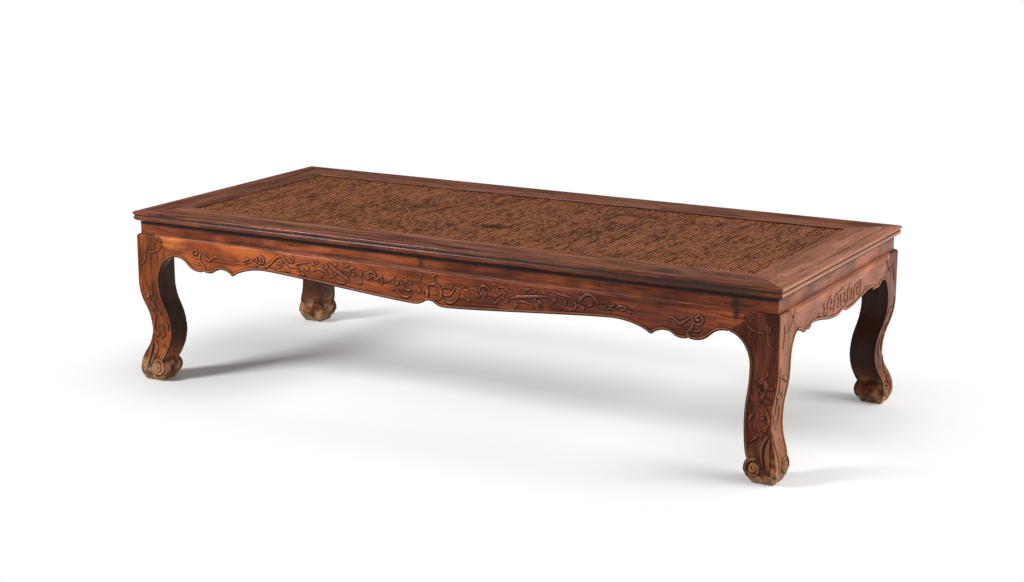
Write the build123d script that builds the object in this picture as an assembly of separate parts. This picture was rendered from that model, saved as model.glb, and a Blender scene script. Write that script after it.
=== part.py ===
"""A waisted platform daybed in hardwood with a soft cane seat, in millimetres.

A mitred seat frame holds a woven cane mat over coir webbing. Below it run a
plain recessed waist and cusped aprons, and four legs that bend in and out
again and end in scrolled feet. No nails or screws: every corner is a mitre
with a tenon inside it.

The origin is on the floor under the middle of the seat. +X runs along the
length, +Y from the front to the back, +Z up.
"""

from build123d import *

import os
from dataclasses import dataclass
from math import hypot

# ---- overall sizes -------------------------------------------------------
SEAT_LENGTH = 2000.0
SEAT_DEPTH = 890.0
SEAT_HEIGHT = 503.0

# ---- seat frame ----------------------------------------------------------
FRAME_THICKNESS = 28.0
FRAME_FACE = 80.0  # flat top of a frame member, from the outer edge to the strip
STRIP_WIDTH = 44.0
STRIP_THICKNESS = 4.0
STRIP_ROUND = 2.0
MAT_THICKNESS = 2.5
WEBBING_THICKNESS = 3.5
LEDGE_WIDTH = 24.0  # shallow part of the rebate, where a strip lies on solid wood
MAT_EDGE_GAP = 1.0  # between the mat's hidden edge and the deep part of the rebate

NOSE_RADIUS = 5.0  # rounded upper lip of the frame's edge moulding
GROOVE_DEPTH = 4.0  # quirk between the lip and the bead below it
GROOVE_DROP = 11.0
GROOVE_HEIGHT = 2.0
BEAD_HEIGHT = 11.0
BEAD_BULGE = 2.5
UNDERCUT = 9.0  # how far the moulding has run back at the frame's underside

FRAME_TENON_WIDTH = 30.0
FRAME_TENON_THICKNESS = 8.0
FRAME_TENON_RISE = 5.0  # from the frame's underside to the tenon
FRAME_TENON_INSET = 79.0  # from the long member's outer edge to the tenon
FRAME_TENON_COVER = 14.0  # wood left outside the blind tenon's end

# ---- waist ---------------------------------------------------------------
WAIST_HEIGHT = 38.0
WAIST_INSET = 16.0  # from the seat's outer edge to the waist's face
WAIST_THICKNESS = 18.0
WAIST_COVE = 3.0
TONGUE_THICKNESS = 6.0
TONGUE_HEIGHT = 5.0

# ---- aprons --------------------------------------------------------------
APRON_INSET = 6.0  # from the seat's outer edge to the face of aprons and legs
APRON_ROUND = 8.0  # rounding of the top front edge
APRON_TENON_LENGTH = 22.0
APRON_TENON_THICKNESS = 9.0
APRON_TENON_TOP = 12.0  # below the apron's top
APRON_TENON_HEIGHT = 33.0
APRON_TENON_ROOT = 3.0  # the tenon starts this far inside the apron's body

# ---- legs ----------------------------------------------------------------
LEG_WIDTH = 75.0  # square section where the leg leaves the apron
SPRING_DROP = 137.0  # below the apron's top: where the leg springs from the arch
ANKLE_HEIGHT = 147.0
ANKLE_BEND = 24.0  # how far the leg has drawn in at the ankle
ANKLE_WIDTH = 72.0
NECK_HEIGHT = 64.0
NECK_INNER = 77.0
SCROLL_HEIGHT = 39.0
SCROLL_INNER = 84.0
TOE_HEIGHT = 33.0
TOE_FLARE = 2.5  # how far the toe swings out past the leg's own face
PAD_OUTER = 9.0
PAD_INNER = 66.0
PAD_RISE = 12.0
MITRE_TOP = 62.0  # from the leg's corner to the shoulder mitre, at the apron's top

LEG_TENON_SIZE = 14.0
LEG_TENON_NEAR = 6.0  # from the post's outer faces to the tenons
LONG_TENON_HEIGHT = 18.0
SHORT_TENON_HEIGHT = 10.0

# ---- bent braces and pins ------------------------------------------------
BRACE_COUNT = 4
BRACE_SPACING = 400.0
BRACE_WIDTH = 28.0
BRACE_END_DEPTH = 14.0
BRACE_MIDDLE_DEPTH = 27.0
BRACE_BEND = 34.0
BRACE_CLEARANCE = 1.5  # under the webbing at the brace's ends
BRACE_TENON_LENGTH = 25.0
BRACE_TENON_THICKNESS = 8.0

PIN_RADIUS = 1.6
PIN_BITE = 9.0  # into the frame below the strip
PIN_SIDES = 6
LONG_STRIP_PINS = 7
SHORT_STRIP_PINS = 3

FIT_GAP = 0.15  # clearance round every tenon and tongue
SEAM = 0.2  # open line between a strip and its frame member
REACH = 400.0  # longer than any cutting tool here needs to be

# ---- levels and offsets that follow from those ---------------------------
FRAME_BOTTOM = SEAT_HEIGHT - FRAME_THICKNESS
STRIP_BOTTOM = SEAT_HEIGHT - STRIP_THICKNESS
MAT_BOTTOM = STRIP_BOTTOM - MAT_THICKNESS
REBATE_FLOOR = MAT_BOTTOM - WEBBING_THICKNESS
FRAME_WIDTH = FRAME_FACE + STRIP_WIDTH
LEDGE_END = FRAME_FACE + LEDGE_WIDTH
MAT_EDGE = LEDGE_END + MAT_EDGE_GAP
APRON_TOP = FRAME_BOTTOM - WAIST_HEIGHT
WAIST_BACK = WAIST_INSET + WAIST_THICKNESS
APRON_THICKNESS = WAIST_BACK - APRON_INSET
TONGUE_INSET = WAIST_INSET + (WAIST_THICKNESS - TONGUE_THICKNESS) / 2
SPRING = APRON_TOP - SPRING_DROP
POST_INNER = APRON_INSET + LEG_WIDTH
FRAME_TENON_BOTTOM = FRAME_BOTTOM + FRAME_TENON_RISE

# side name: turn about Z, run length, and where the run's outer edge goes
SIDES = {
    "front": (0, SEAT_LENGTH, (0, -SEAT_DEPTH / 2)),
    "right": (90, SEAT_DEPTH, (SEAT_LENGTH / 2, 0)),
    "back": (180, SEAT_LENGTH, (0, SEAT_DEPTH / 2)),
    "left": (270, SEAT_DEPTH, (-SEAT_LENGTH / 2, 0)),
}
LONG_SIDES = ("front", "back")


@dataclass
class EdgeShape:
    """The cusped lower edge of an apron, from the leg to the middle.

    Each point is (distance from the leg's outer corner, drop below the
    apron's top). The belly and the notch are measured from the middle.
    """

    crown: tuple  # top of the arch beside the leg
    mitre: tuple  # where the leg's shoulder mitre meets the edge
    drip: tuple  # lowest point of the first lobe
    slit: tuple  # top of the nick between the two lobes
    curl: tuple  # lowest point of the second lobe
    crest: tuple  # highest point of the long ogee
    belly: tuple  # lowest point beside the middle
    notch: tuple  # corner of the shallow notch in the middle
    bump: tuple = None  # rise between the lobes and the cusp
    cusp: tuple = None  # sharp downward point


LONG_EDGE = EdgeShape(
    crown=(144, 54),
    mitre=(132, 56),
    drip=(222, 88),
    slit=(241, 80),
    curl=(259, 88),
    bump=(304, 73),
    cusp=(342, 87),
    crest=(449, 60),
    belly=(45, 93.5),
    notch=(12, 82),
)
SHORT_EDGE = EdgeShape(
    crown=(124, 64),
    mitre=(117, 64.5),
    drip=(168, 77),
    slit=(182, 71),
    curl=(195, 76),
    crest=(216, 65.5),
    belly=(38, 86),
    notch=(9, 80),
)
CREST_HANDLE = 70.0  # how far the long curve stays level at the crest and the belly
BELLY_HANDLE = 80.0
SLIT_HALF_WIDTH = 4.0
SLIT_LIP = 1.5  # how far the slit's edges lie above the lobes' lowest points


# ---- drawing and placing -------------------------------------------------
def along_x(sketch, x0, x1):
    """Extrudes a (y, z) sketch from x0 to x1."""
    return extrude(Plane.YZ.offset(x0) * sketch, x1 - x0)


def along_y(sketch, y0, y1):
    """Extrudes an (x, z) sketch from y0 to y1."""
    plane = Plane(origin=(0, y0, 0), x_dir=(1, 0, 0), z_dir=(0, -1, 0))
    return extrude(plane * sketch, y0 - y1)


def along_z(sketch, z0, z1):
    """Extrudes an (x, y) sketch from z0 to z1."""
    return extrude(Plane.XY.offset(z0) * sketch, z1 - z0)


def closed(*points):
    """A straight-sided sketch through the points."""
    return make_face(Polyline(*points, close=True))


def block(low, high):
    """A box between two opposite corners."""
    size = [b - a for a, b in zip(low, high)]
    return Pos(*low) * Box(*size, align=(Align.MIN, Align.MIN, Align.MIN))


def grown(low, high, gap=FIT_GAP):
    """The socket for a tenon that fills the box: the same box with a gap round it."""
    return block([a - gap for a in low], [b + gap for b in high])


def on_side(part, side):
    """Turns a part drawn along the front, outer edge at y = 0, to its side."""
    turn, _, edge = SIDES[side]
    return Pos(*edge, 0) * Rot(0, 0, turn) * part


def mitre_prism(length, depth, low, high):
    """All the room a run has between its two 45 degree mitres."""
    half = length / 2
    shape = closed((-half, 0), (half, 0), (half - depth, depth), (depth - half, depth))
    return along_z(shape, low, high)


def mitred(section, length, depth):
    """A moulding of the given (y, z) section, mitred at both ends."""
    bar = along_x(section, -length / 2, length / 2)
    return bar & mitre_prism(length, depth, 0, SEAT_HEIGHT + 1)


def both_ends(part):
    """The part and its mirror image at the run's other end."""
    return part + mirror(part, about=Plane.YZ)


# ---- seat frame ----------------------------------------------------------
def frame_section():
    """Frame member: rounded lip, quirk and bead outside, stepped rebate inside."""
    top = SEAT_HEIGHT
    groove_top = top - GROOVE_DROP
    bead_top = groove_top - GROOVE_HEIGHT
    bead_bottom = bead_top - BEAD_HEIGHT
    bulge = (GROOVE_DEPTH - BEAD_BULGE, (bead_top + bead_bottom) / 2)
    edges = [
        TangentArc((NOSE_RADIUS, top), (0, top - NOSE_RADIUS), tangent=(-1, 0)),
        TangentArc((0, top - NOSE_RADIUS), (GROOVE_DEPTH, groove_top), tangent=(0, -1)),
        Line((GROOVE_DEPTH, groove_top), (GROOVE_DEPTH, bead_top)),
        ThreePointArc((GROOVE_DEPTH, bead_top), bulge, (GROOVE_DEPTH, bead_bottom)),
        Polyline(
            (GROOVE_DEPTH, bead_bottom),
            (UNDERCUT, FRAME_BOTTOM),
            (FRAME_WIDTH, FRAME_BOTTOM),
            (FRAME_WIDTH, REBATE_FLOOR),
            (LEDGE_END, REBATE_FLOOR),
            (LEDGE_END, STRIP_BOTTOM),
            (FRAME_FACE, STRIP_BOTTOM),
            (FRAME_FACE, top),
            (NOSE_RADIUS, top),
        ),
    ]
    return make_face(Curve() + edges)


def tongue_groove(length, level):
    """The groove that takes a waist's tongue, above or below the level given."""
    low = (-length / 2, TONGUE_INSET, level - TONGUE_HEIGHT)
    high = (length / 2, TONGUE_INSET + TONGUE_THICKNESS, level + TONGUE_HEIGHT)
    return grown(low, high) & mitre_prism(length, WAIST_BACK, 0, SEAT_HEIGHT)


def frame_tenon_box(length):
    """Corners of the long member's tenon at its +X end."""
    inset, width = FRAME_TENON_INSET, FRAME_TENON_WIDTH
    low = (length / 2 - inset - width, inset, FRAME_TENON_BOTTOM)
    high = (
        length / 2 - FRAME_TENON_COVER,
        inset + width,
        FRAME_TENON_BOTTOM + FRAME_TENON_THICKNESS,
    )
    return low, high


def leg_tenon_box(near, across, height):
    """Corners of one of a leg's two top tenons; near and across are insets in X and Y."""
    low = (near, across, FRAME_BOTTOM)
    high = (near + LEG_TENON_SIZE, across + LEG_TENON_SIZE, FRAME_BOTTOM + height)
    return low, high


def leg_tenon_insets():
    """Insets of the leg's tenons from the two outer edges: the near one and the far one."""
    near = WAIST_BACK + LEG_TENON_NEAR
    far = POST_INNER - LEG_TENON_NEAR - LEG_TENON_SIZE
    return near, far


def brace_places():
    """X of each bent brace."""
    first = -(BRACE_COUNT - 1) / 2 * BRACE_SPACING
    return [first + i * BRACE_SPACING for i in range(BRACE_COUNT)]


def brace_tenon_box(x):
    """Corners of a brace's tenon, as drawn along the front."""
    middle = (FRAME_BOTTOM + REBATE_FLOOR) / 2
    low = (
        x - BRACE_WIDTH / 2,
        FRAME_WIDTH - BRACE_TENON_LENGTH,
        middle - BRACE_TENON_THICKNESS / 2,
    )
    high = (x + BRACE_WIDTH / 2, FRAME_WIDTH, middle + BRACE_TENON_THICKNESS / 2)
    return low, high


def corner_socket(length, low, high):
    """Sockets at both ends of a run, for a box given by its insets."""
    shifted_low = (low[0] - length / 2, low[1], low[2])
    shifted_high = (high[0] - length / 2, high[1], high[2])
    return both_ends(grown(shifted_low, shifted_high))


def frame_member(side):
    """One side of the seat frame, with its tenons or the sockets for them."""
    length = SIDES[side][1]
    member = mitred(frame_section(), length, FRAME_WIDTH)
    member -= tongue_groove(length, FRAME_BOTTOM)
    near, far = leg_tenon_insets()
    if side in LONG_SIDES:
        member += both_ends(block(*frame_tenon_box(length)))
        member -= corner_socket(length, *leg_tenon_box(far, near, LONG_TENON_HEIGHT))
        for x in brace_places():
            member -= grown(*brace_tenon_box(x))
    else:
        member -= corner_socket(length, *leg_tenon_box(far, near, SHORT_TENON_HEIGHT))
        member -= frame_tenon_socket(length)
    for x in pin_places(side):
        member -= pin_hole(x)
    return on_side(member, side)


def frame_tenon_socket(length):
    """The long members' tenons as a short member, drawn along the front, meets them."""
    low, high = frame_tenon_box(SEAT_LENGTH)
    outer, inner = SEAT_LENGTH / 2 - high[0], SEAT_LENGTH / 2 - low[0]
    across_low, across_high = low[1] - length / 2, high[1] - length / 2
    socket = grown((across_low, outer, low[2]), (across_high, inner, high[2]))
    return both_ends(socket)


# ---- seat: strips, mat, webbing and pins ---------------------------------
def strip(side):
    """Pressing strip that covers the mat's lashed edge."""
    length = SIDES[side][1]
    top = SEAT_HEIGHT
    edges = [
        TangentArc(
            (FRAME_WIDTH - STRIP_ROUND, top), (FRAME_WIDTH, top - STRIP_ROUND), tangent=(1, 0)
        ),
        Polyline(
            (FRAME_WIDTH, top - STRIP_ROUND),
            (FRAME_WIDTH, STRIP_BOTTOM),
            (FRAME_FACE + SEAM, STRIP_BOTTOM),
            (FRAME_FACE + SEAM, top),
            (FRAME_WIDTH - STRIP_ROUND, top),
        ),
    ]
    bar = mitred(make_face(Curve() + edges), length, FRAME_WIDTH)
    for x in pin_places(side):
        bar -= pin_hole(x)
    return on_side(bar, side)


def pin_places(side):
    """Places of the pins along a strip."""
    count = LONG_STRIP_PINS if side in LONG_SIDES else SHORT_STRIP_PINS
    pitch = (SIDES[side][1] - 2 * FRAME_WIDTH) / count
    return [(i - (count - 1) / 2) * pitch for i in range(count)]


def pin_at(x, low, high, radius):
    """An upright whittled pin over the ledge that a strip lies on."""
    outline = Pos(x, FRAME_FACE + LEDGE_WIDTH / 2) * RegularPolygon(radius, PIN_SIDES)
    return along_z(outline, low, high)


def pin_hole(x):
    """The hole for a pin, through the strip and into the frame."""
    low = STRIP_BOTTOM - PIN_BITE - FIT_GAP
    return pin_at(x, low, SEAT_HEIGHT + FIT_GAP, PIN_RADIUS + FIT_GAP)


def pins():
    """Every bamboo pin that holds a strip down, as separate solids."""
    made = []
    for side in SIDES:
        for x in pin_places(side):
            pin = pin_at(x, STRIP_BOTTOM - PIN_BITE, SEAT_HEIGHT, PIN_RADIUS)
            made.append(on_side(pin, side).solid())
    return Compound(children=made)


def seat_layer(low, high):
    """A flat sheet that reaches under the strips on every side."""
    half_length = SEAT_LENGTH / 2 - MAT_EDGE
    half_depth = SEAT_DEPTH / 2 - MAT_EDGE
    return block((-half_length, -half_depth, low), (half_length, half_depth, high))


def brace(x):
    """A bent brace: its tenons lie in the long members and its middle hangs clear."""
    half = SEAT_DEPTH / 2 - FRAME_WIDTH
    top = REBATE_FLOOR - BRACE_CLEARANCE
    bottom = top - BRACE_END_DEPTH
    low_top = top - BRACE_BEND
    low_bottom = low_top - BRACE_MIDDLE_DEPTH
    edges = [
        ThreePointArc((-half, top), (0, low_top), (half, top)),
        Line((half, top), (half, bottom)),
        ThreePointArc((half, bottom), (0, low_bottom), (-half, bottom)),
        Line((-half, bottom), (-half, top)),
    ]
    made = along_x(
        make_face(Curve() + edges), x - BRACE_WIDTH / 2, x + BRACE_WIDTH / 2
    )
    tenon = on_side(block(*brace_tenon_box(x)), "front")
    return made + tenon + mirror(tenon, about=Plane.XZ)


# ---- waist ---------------------------------------------------------------
def waist(side):
    """Recessed waist board, tongued into the frame above and the apron below."""
    face, back = WAIST_INSET, WAIST_BACK
    edges = [
        TangentArc(
            (face - WAIST_COVE, APRON_TOP), (face, APRON_TOP + WAIST_COVE), tangent=(1, 0)
        ),
        Polyline(
            (face, APRON_TOP + WAIST_COVE),
            (face, FRAME_BOTTOM),
            (TONGUE_INSET, FRAME_BOTTOM),
            (TONGUE_INSET, FRAME_BOTTOM + TONGUE_HEIGHT),
            (TONGUE_INSET + TONGUE_THICKNESS, FRAME_BOTTOM + TONGUE_HEIGHT),
            (TONGUE_INSET + TONGUE_THICKNESS, FRAME_BOTTOM),
            (back, FRAME_BOTTOM),
            (back, APRON_TOP),
            (TONGUE_INSET + TONGUE_THICKNESS, APRON_TOP),
            (TONGUE_INSET + TONGUE_THICKNESS, APRON_TOP - TONGUE_HEIGHT),
            (TONGUE_INSET, APRON_TOP - TONGUE_HEIGHT),
            (TONGUE_INSET, APRON_TOP),
            (face - WAIST_COVE, APRON_TOP),
        ),
    ]
    return on_side(mitred(make_face(Curve() + edges), SIDES[side][1], back), side)


# ---- one side seen square on: legs and apron in one outline ---------------
def arc_into(start, end, direction):
    """An arc that reaches the end in the given direction."""
    return TangentArc(end, start, tangent=(-direction[0], -direction[1]))


def ogee(start, end, direction):
    """Two equal arcs that leave the start and reach the end in the same direction."""
    middle = ((start[0] + end[0]) / 2, (start[1] + end[1]) / 2)
    return [TangentArc(start, middle, tangent=direction), arc_into(middle, end, direction)]


def arch(spring, crown):
    """Two arcs that rise upright from the spring and run level, to -X, into the crown."""
    across, rise = spring[0] - crown[0], crown[1] - spring[1]
    corner_cut = (across + rise - hypot(across, rise)) / 2
    joint = (spring[0] - corner_cut, crown[1] - corner_cut)
    return [TangentArc(spring, joint, tangent=(0, 1)), arc_into(joint, crown, (-1, 0))]


def leg_inner_edges(half):
    """The inner side of the right leg, from its pad up to where the arch springs."""

    def at(inward, height):
        return half - inward, height

    pad = at(PAD_INNER, 0)
    rise = at(PAD_INNER + PAD_RISE / 2, PAD_RISE)
    neck = at(NECK_INNER, NECK_HEIGHT)
    ankle = at(ANKLE_BEND + ANKLE_WIDTH, ANKLE_HEIGHT)
    up = (0, 1)
    return [
        Line(pad, rise),
        ThreePointArc(rise, at(SCROLL_INNER, SCROLL_HEIGHT), neck),
        arc_into(neck, ankle, up),
        *ogee(ankle, at(LEG_WIDTH, SPRING), up),
    ]


def leg_outer_edges(half):
    """The outer side of the right leg, from the apron's top down to its pad.

    The leg draws in to the ankle and swings out again to the toe.
    """
    toe = (half + TOE_FLARE, TOE_HEIGHT)
    ankle = (half - ANKLE_BEND, ANKLE_HEIGHT)
    pad = (half - PAD_OUTER, 0)
    down = (0, -1)
    round_end = (half, APRON_TOP - APRON_ROUND)
    return [
        TangentArc((half - APRON_ROUND, APRON_TOP), round_end, tangent=(1, 0)),
        Line(round_end, (half, SPRING)),
        *ogee((half, SPRING), ankle, down),
        *ogee(ankle, toe, down),
        TangentArc(toe, pad, tangent=down),
        Line(pad, (half - PAD_INNER, 0)),
    ]


def cusped_edges(half, shape):
    """The apron's edge from the right leg's springing to the middle notch."""

    def at(point):
        return half - point[0], APRON_TOP - point[1]

    crown, drip, slit = at(shape.crown), at(shape.drip), at(shape.slit)
    curl, crest = at(shape.curl), at(shape.crest)
    belly = (shape.belly[0], APRON_TOP - shape.belly[1])
    notch = (shape.notch[0], APRON_TOP - shape.notch[1])
    lip = (drip[1] + curl[1]) / 2 + SLIT_LIP
    slit_right = (slit[0] + SLIT_HALF_WIDTH, lip)
    slit_left = (slit[0] - SLIT_HALF_WIDTH, lip)
    level = (-1, 0)
    edges = [
        *arch((half - LEG_WIDTH, SPRING), crown),
        *ogee(crown, drip, level),
        TangentArc(drip, slit_right, tangent=level),
        Polyline(slit_right, slit, slit_left),
        arc_into(slit_left, curl, level),
    ]
    if shape.cusp:
        bump, cusp = at(shape.bump), at(shape.cusp)
        edges += ogee(curl, bump, level)
        edges.append(TangentArc(bump, cusp, tangent=level))
        edges.append(arc_into(cusp, crest, level))
    else:
        edges += ogee(curl, crest, level)
    crest_handle = (crest[0] - CREST_HANDLE, crest[1])
    belly_handle = (belly[0] + BELLY_HANDLE, belly[1])
    edges.append(Bezier(crest, crest_handle, belly_handle, belly))
    edges.append(TangentArc(belly, notch, tangent=level))
    return edges


def elevation(length, shape):
    """A whole side of the stand seen square on: two legs and the apron between them."""
    half = length / 2 - APRON_INSET
    right = leg_inner_edges(half) + cusped_edges(half, shape) + leg_outer_edges(half)
    left = [mirror(edge, about=Plane.YZ) for edge in right]
    notch = (shape.notch[0], APRON_TOP - shape.notch[1])
    middle = Line(notch, (-notch[0], notch[1]))
    top = Line((half - APRON_ROUND, APRON_TOP), (APRON_ROUND - half, APRON_TOP))
    return make_face(Curve() + [*right, *left, middle, top])


def mitre_line(length, shape):
    """A function giving x on the right shoulder mitre at a drop below the apron's top."""
    half = length / 2 - APRON_INSET
    slope = (shape.mitre[0] - MITRE_TOP) / shape.mitre[1]

    def x_at(drop):
        return half - MITRE_TOP - slope * drop

    return x_at


def leg_room(length, shape):
    """The part of an elevation that the right leg keeps, outside its mitre."""
    over = 2 * SEAT_HEIGHT
    x_at = mitre_line(length, shape)
    outside = length / 2 + over
    return closed(
        (outside, APRON_TOP + 1),
        (x_at(-1), APRON_TOP + 1),
        (x_at(SPRING_DROP), SPRING),
        (x_at(SPRING_DROP), -over),
        (outside, -over),
    )


# ---- aprons --------------------------------------------------------------
def edge_shape(side):
    """The cusped edge that a side has."""
    return LONG_EDGE if side in LONG_SIDES else SHORT_EDGE


def apron_tenon(length, shape, gap=0.0):
    """The slanted tenon at the apron's +X end, or its socket if a gap is given."""
    x_at = mitre_line(length, shape)
    top, bottom = APRON_TENON_TOP - gap, APRON_TENON_TOP + APRON_TENON_HEIGHT + gap
    root, tip = -APRON_TENON_ROOT, APRON_TENON_LENGTH + gap
    outline = closed(
        (x_at(top) + root, APRON_TOP - top),
        (x_at(top) + tip, APRON_TOP - top),
        (x_at(bottom) + tip, APRON_TOP - bottom),
        (x_at(bottom) + root, APRON_TOP - bottom),
    )
    middle = APRON_INSET + APRON_THICKNESS / 2
    reach = APRON_TENON_THICKNESS / 2 + gap
    return along_y(outline, middle - reach, middle + reach)


def apron_section():
    """Apron's (y, z) section before its lower edge is cut: a rounded top front edge."""
    face, back = APRON_INSET, WAIST_BACK
    rounded = TangentArc(
        (face, APRON_TOP - APRON_ROUND), (face + APRON_ROUND, APRON_TOP), tangent=(0, 1)
    )
    rest = Polyline(
        (face + APRON_ROUND, APRON_TOP),
        (back, APRON_TOP),
        (back, SPRING),
        (face, SPRING),
        (face, APRON_TOP - APRON_ROUND),
    )
    return make_face(Curve() + [rounded, rest])


def apron(side):
    """A cusped apron, cut to the legs' mitres at both ends, with a tenon behind each."""
    length, shape = SIDES[side][1], edge_shape(side)
    outline = elevation(length, shape) - both_ends(leg_room(length, shape))
    bar = along_x(apron_section(), -length / 2, length / 2)
    made = bar & along_y(outline, 0, WAIST_BACK + 1)
    made += both_ends(apron_tenon(length, shape))
    made -= tongue_groove(length, APRON_TOP)
    return on_side(made, side)


# ---- legs ----------------------------------------------------------------
def left_end(sketch, length):
    """Moves a run's left end to x = 0, so that its x becomes an inset."""
    return Pos(length / 2, 0) * mirror(sketch, about=Plane.YZ)


def leg():
    """The front left leg, in insets from the seat's left and front outer edges.

    Two elevations meet in it: what is inside both, seen along Y and along X,
    is the leg.
    """
    runs = ((SEAT_LENGTH, LONG_EDGE), (SEAT_DEPTH, SHORT_EDGE))
    front, side = [
        left_end(elevation(length, shape) & leg_room(length, shape), length)
        for length, shape in runs
    ]
    made = along_y(front, -REACH, REACH) & along_x(side, -REACH, REACH)

    # behind the thin shoulders only the square post goes up
    made -= block((POST_INNER, WAIST_BACK, SPRING), (REACH, REACH, SEAT_HEIGHT))
    made -= block((WAIST_BACK, POST_INNER, SPRING), (REACH, REACH, SEAT_HEIGHT))

    made -= shoulder_grooves()
    post_foot = (WAIST_BACK, WAIST_BACK, APRON_TOP - 2 * TONGUE_HEIGHT)
    made += block(post_foot, (POST_INNER, POST_INNER, FRAME_BOTTOM))
    near, far = leg_tenon_insets()
    made += block(*leg_tenon_box(far, near, LONG_TENON_HEIGHT))
    made += block(*leg_tenon_box(near, far, SHORT_TENON_HEIGHT))
    made -= leg_apron_sockets()
    return made


def shoulder_grooves():
    """Grooves for the waist's tongues in the leg's two shoulders, as insets."""
    front = Pos(SEAT_LENGTH / 2, 0, 0) * tongue_groove(SEAT_LENGTH, APRON_TOP)
    side = Pos(SEAT_DEPTH / 2, 0, 0) * tongue_groove(SEAT_DEPTH, APRON_TOP)
    return front + turned(side)


def leg_apron_sockets():
    """Sockets for the two aprons' tenons, as insets."""
    front = mirror(apron_tenon(SEAT_LENGTH, LONG_EDGE, FIT_GAP), about=Plane.YZ)
    side = mirror(apron_tenon(SEAT_DEPTH, SHORT_EDGE, FIT_GAP), about=Plane.YZ)
    return Pos(SEAT_LENGTH / 2, 0, 0) * front + turned(Pos(SEAT_DEPTH / 2, 0, 0) * side)


def turned(part):
    """Swaps the roles of X and Y, so that a front joint becomes a side joint."""
    return mirror(part, about=Plane(origin=(0, 0, 0), z_dir=(1, -1, 0)))


def legs():
    """The four legs, each a mirror image of the first."""
    first = Pos(-SEAT_LENGTH / 2, -SEAT_DEPTH / 2, 0) * leg()
    back_left = mirror(first, about=Plane.XZ)
    return {
        "leg_front_left": first,
        "leg_front_right": mirror(first, about=Plane.YZ),
        "leg_back_left": back_left,
        "leg_back_right": mirror(back_left, about=Plane.YZ),
    }


# ---- the whole daybed ----------------------------------------------------
def all_parts():
    """Every piece by its name."""
    made = {}
    for side in SIDES:
        made[f"frame_{side}"] = frame_member(side)
        made[f"strip_{side}"] = strip(side)
        made[f"waist_{side}"] = waist(side)
        made[f"apron_{side}"] = apron(side)
    made["cane_mat"] = seat_layer(MAT_BOTTOM, STRIP_BOTTOM)
    made["coir_webbing"] = seat_layer(REBATE_FLOOR, MAT_BOTTOM)
    made["strip_pins"] = pins()
    for number, x in enumerate(brace_places(), 1):
        made[f"brace_{number}"] = brace(x)
    made.update(legs())
    return made


os.makedirs("parts", exist_ok=True)
for name, shape in all_parts().items():
    export_step(shape, f"parts/{name}.step")
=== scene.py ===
# %% [markdown]
# # A waisted daybed with a soft cane seat
#
# The joinery comes ready made, as fixed solids: a mitred seat frame, the strips that press the
# cane down, a recessed waist, four cusped aprons and four bent legs. This lesson dresses them. It
# carves the aprons and legs, weaves the cane, rubs a century of wax and dirt into the wood, and
# sets the bed on a pale studio floor. The first cell loads the solids and keeps their outer box.

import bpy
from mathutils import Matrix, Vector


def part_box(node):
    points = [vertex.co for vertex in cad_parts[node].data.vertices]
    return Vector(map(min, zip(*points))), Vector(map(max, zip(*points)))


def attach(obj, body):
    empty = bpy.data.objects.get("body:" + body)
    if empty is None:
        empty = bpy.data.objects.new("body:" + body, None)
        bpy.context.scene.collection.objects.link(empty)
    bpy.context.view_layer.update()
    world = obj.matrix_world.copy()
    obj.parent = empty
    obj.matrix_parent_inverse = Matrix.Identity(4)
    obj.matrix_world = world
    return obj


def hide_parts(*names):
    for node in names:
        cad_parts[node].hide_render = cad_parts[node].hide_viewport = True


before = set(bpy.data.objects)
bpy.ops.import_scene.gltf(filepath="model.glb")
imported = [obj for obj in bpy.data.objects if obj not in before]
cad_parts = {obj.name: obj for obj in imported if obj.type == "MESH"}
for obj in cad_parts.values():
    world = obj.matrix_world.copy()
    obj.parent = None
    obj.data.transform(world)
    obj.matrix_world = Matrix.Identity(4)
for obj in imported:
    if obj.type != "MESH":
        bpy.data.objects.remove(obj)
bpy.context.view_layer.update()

# %% [markdown]
# ## The sizes this lesson needs
#
# The solids are fixed, so everything new is placed from their own sizes. The faces of the
# aprons and the legs lie in one plane, a little inside the edge of the seat frame above them,
# and all the carving stands on that plane.

# %% Sizes from the frame
from math import cos, hypot, pi, radians, sin, sqrt

import bpy
from mathutils import Vector

MM = 0.001
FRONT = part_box("apron_front")[0].y  # the plane of the front apron's face
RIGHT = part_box("apron_right")[1].x  # the plane of the right apron's face
rail_low, rail_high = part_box("frame_front")
SEAT_X, SEAT_Y = rail_high.x, -rail_low.y  # half the length and half the depth of the seat frame
QUIRK = rail_high.z - 12 * MM  # the middle of the groove round the frame's edge
print("front face at", round(FRONT, 4), "and right face at", round(RIGHT, 4))

# %% [markdown]
# ## Camera
#
# The bed is seen from a little above and from its right end, through a lens long enough to keep
# the long sides nearly parallel. The view is set by a place, two angles and a focal length.

# %% Camera
camera_data = bpy.data.cameras.new("studio_camera")
camera_data.lens = 68.03
camera_data.sensor_width = 36.0
camera_data.clip_end = 60.0
camera = bpy.data.objects.new("studio_camera", camera_data)
camera.location = (2.645, -4.684, 1.568)
camera.rotation_euler = (radians(76.64), 0.0, radians(29.4))
bpy.context.scene.collection.objects.link(camera)
bpy.context.scene.camera = camera
print("camera looks from", tuple(camera.location))

# %% [markdown]
# ## Small helpers for node trees
#
# A procedural material is a tree of nodes. Written out in full it hides its own idea, so a few
# helpers keep it short. `put` adds a node to the newest tree, `calc` a Math node, `product` and
# `total` chain them, `span` turns a range of values into a share, and `mix` lays one colour over
# another by such a share.

# %% Node helpers
trees = []  # the tree that is being built stands last


def fill(socket, value):
    """Links a socket, or sets it. A colour is given as three numbers."""
    if isinstance(value, bpy.types.NodeSocket):
        trees[-1].links.new(value, socket)
    else:
        socket.default_value = (*value, 1.0) if socket.type == "RGBA" else value


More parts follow.
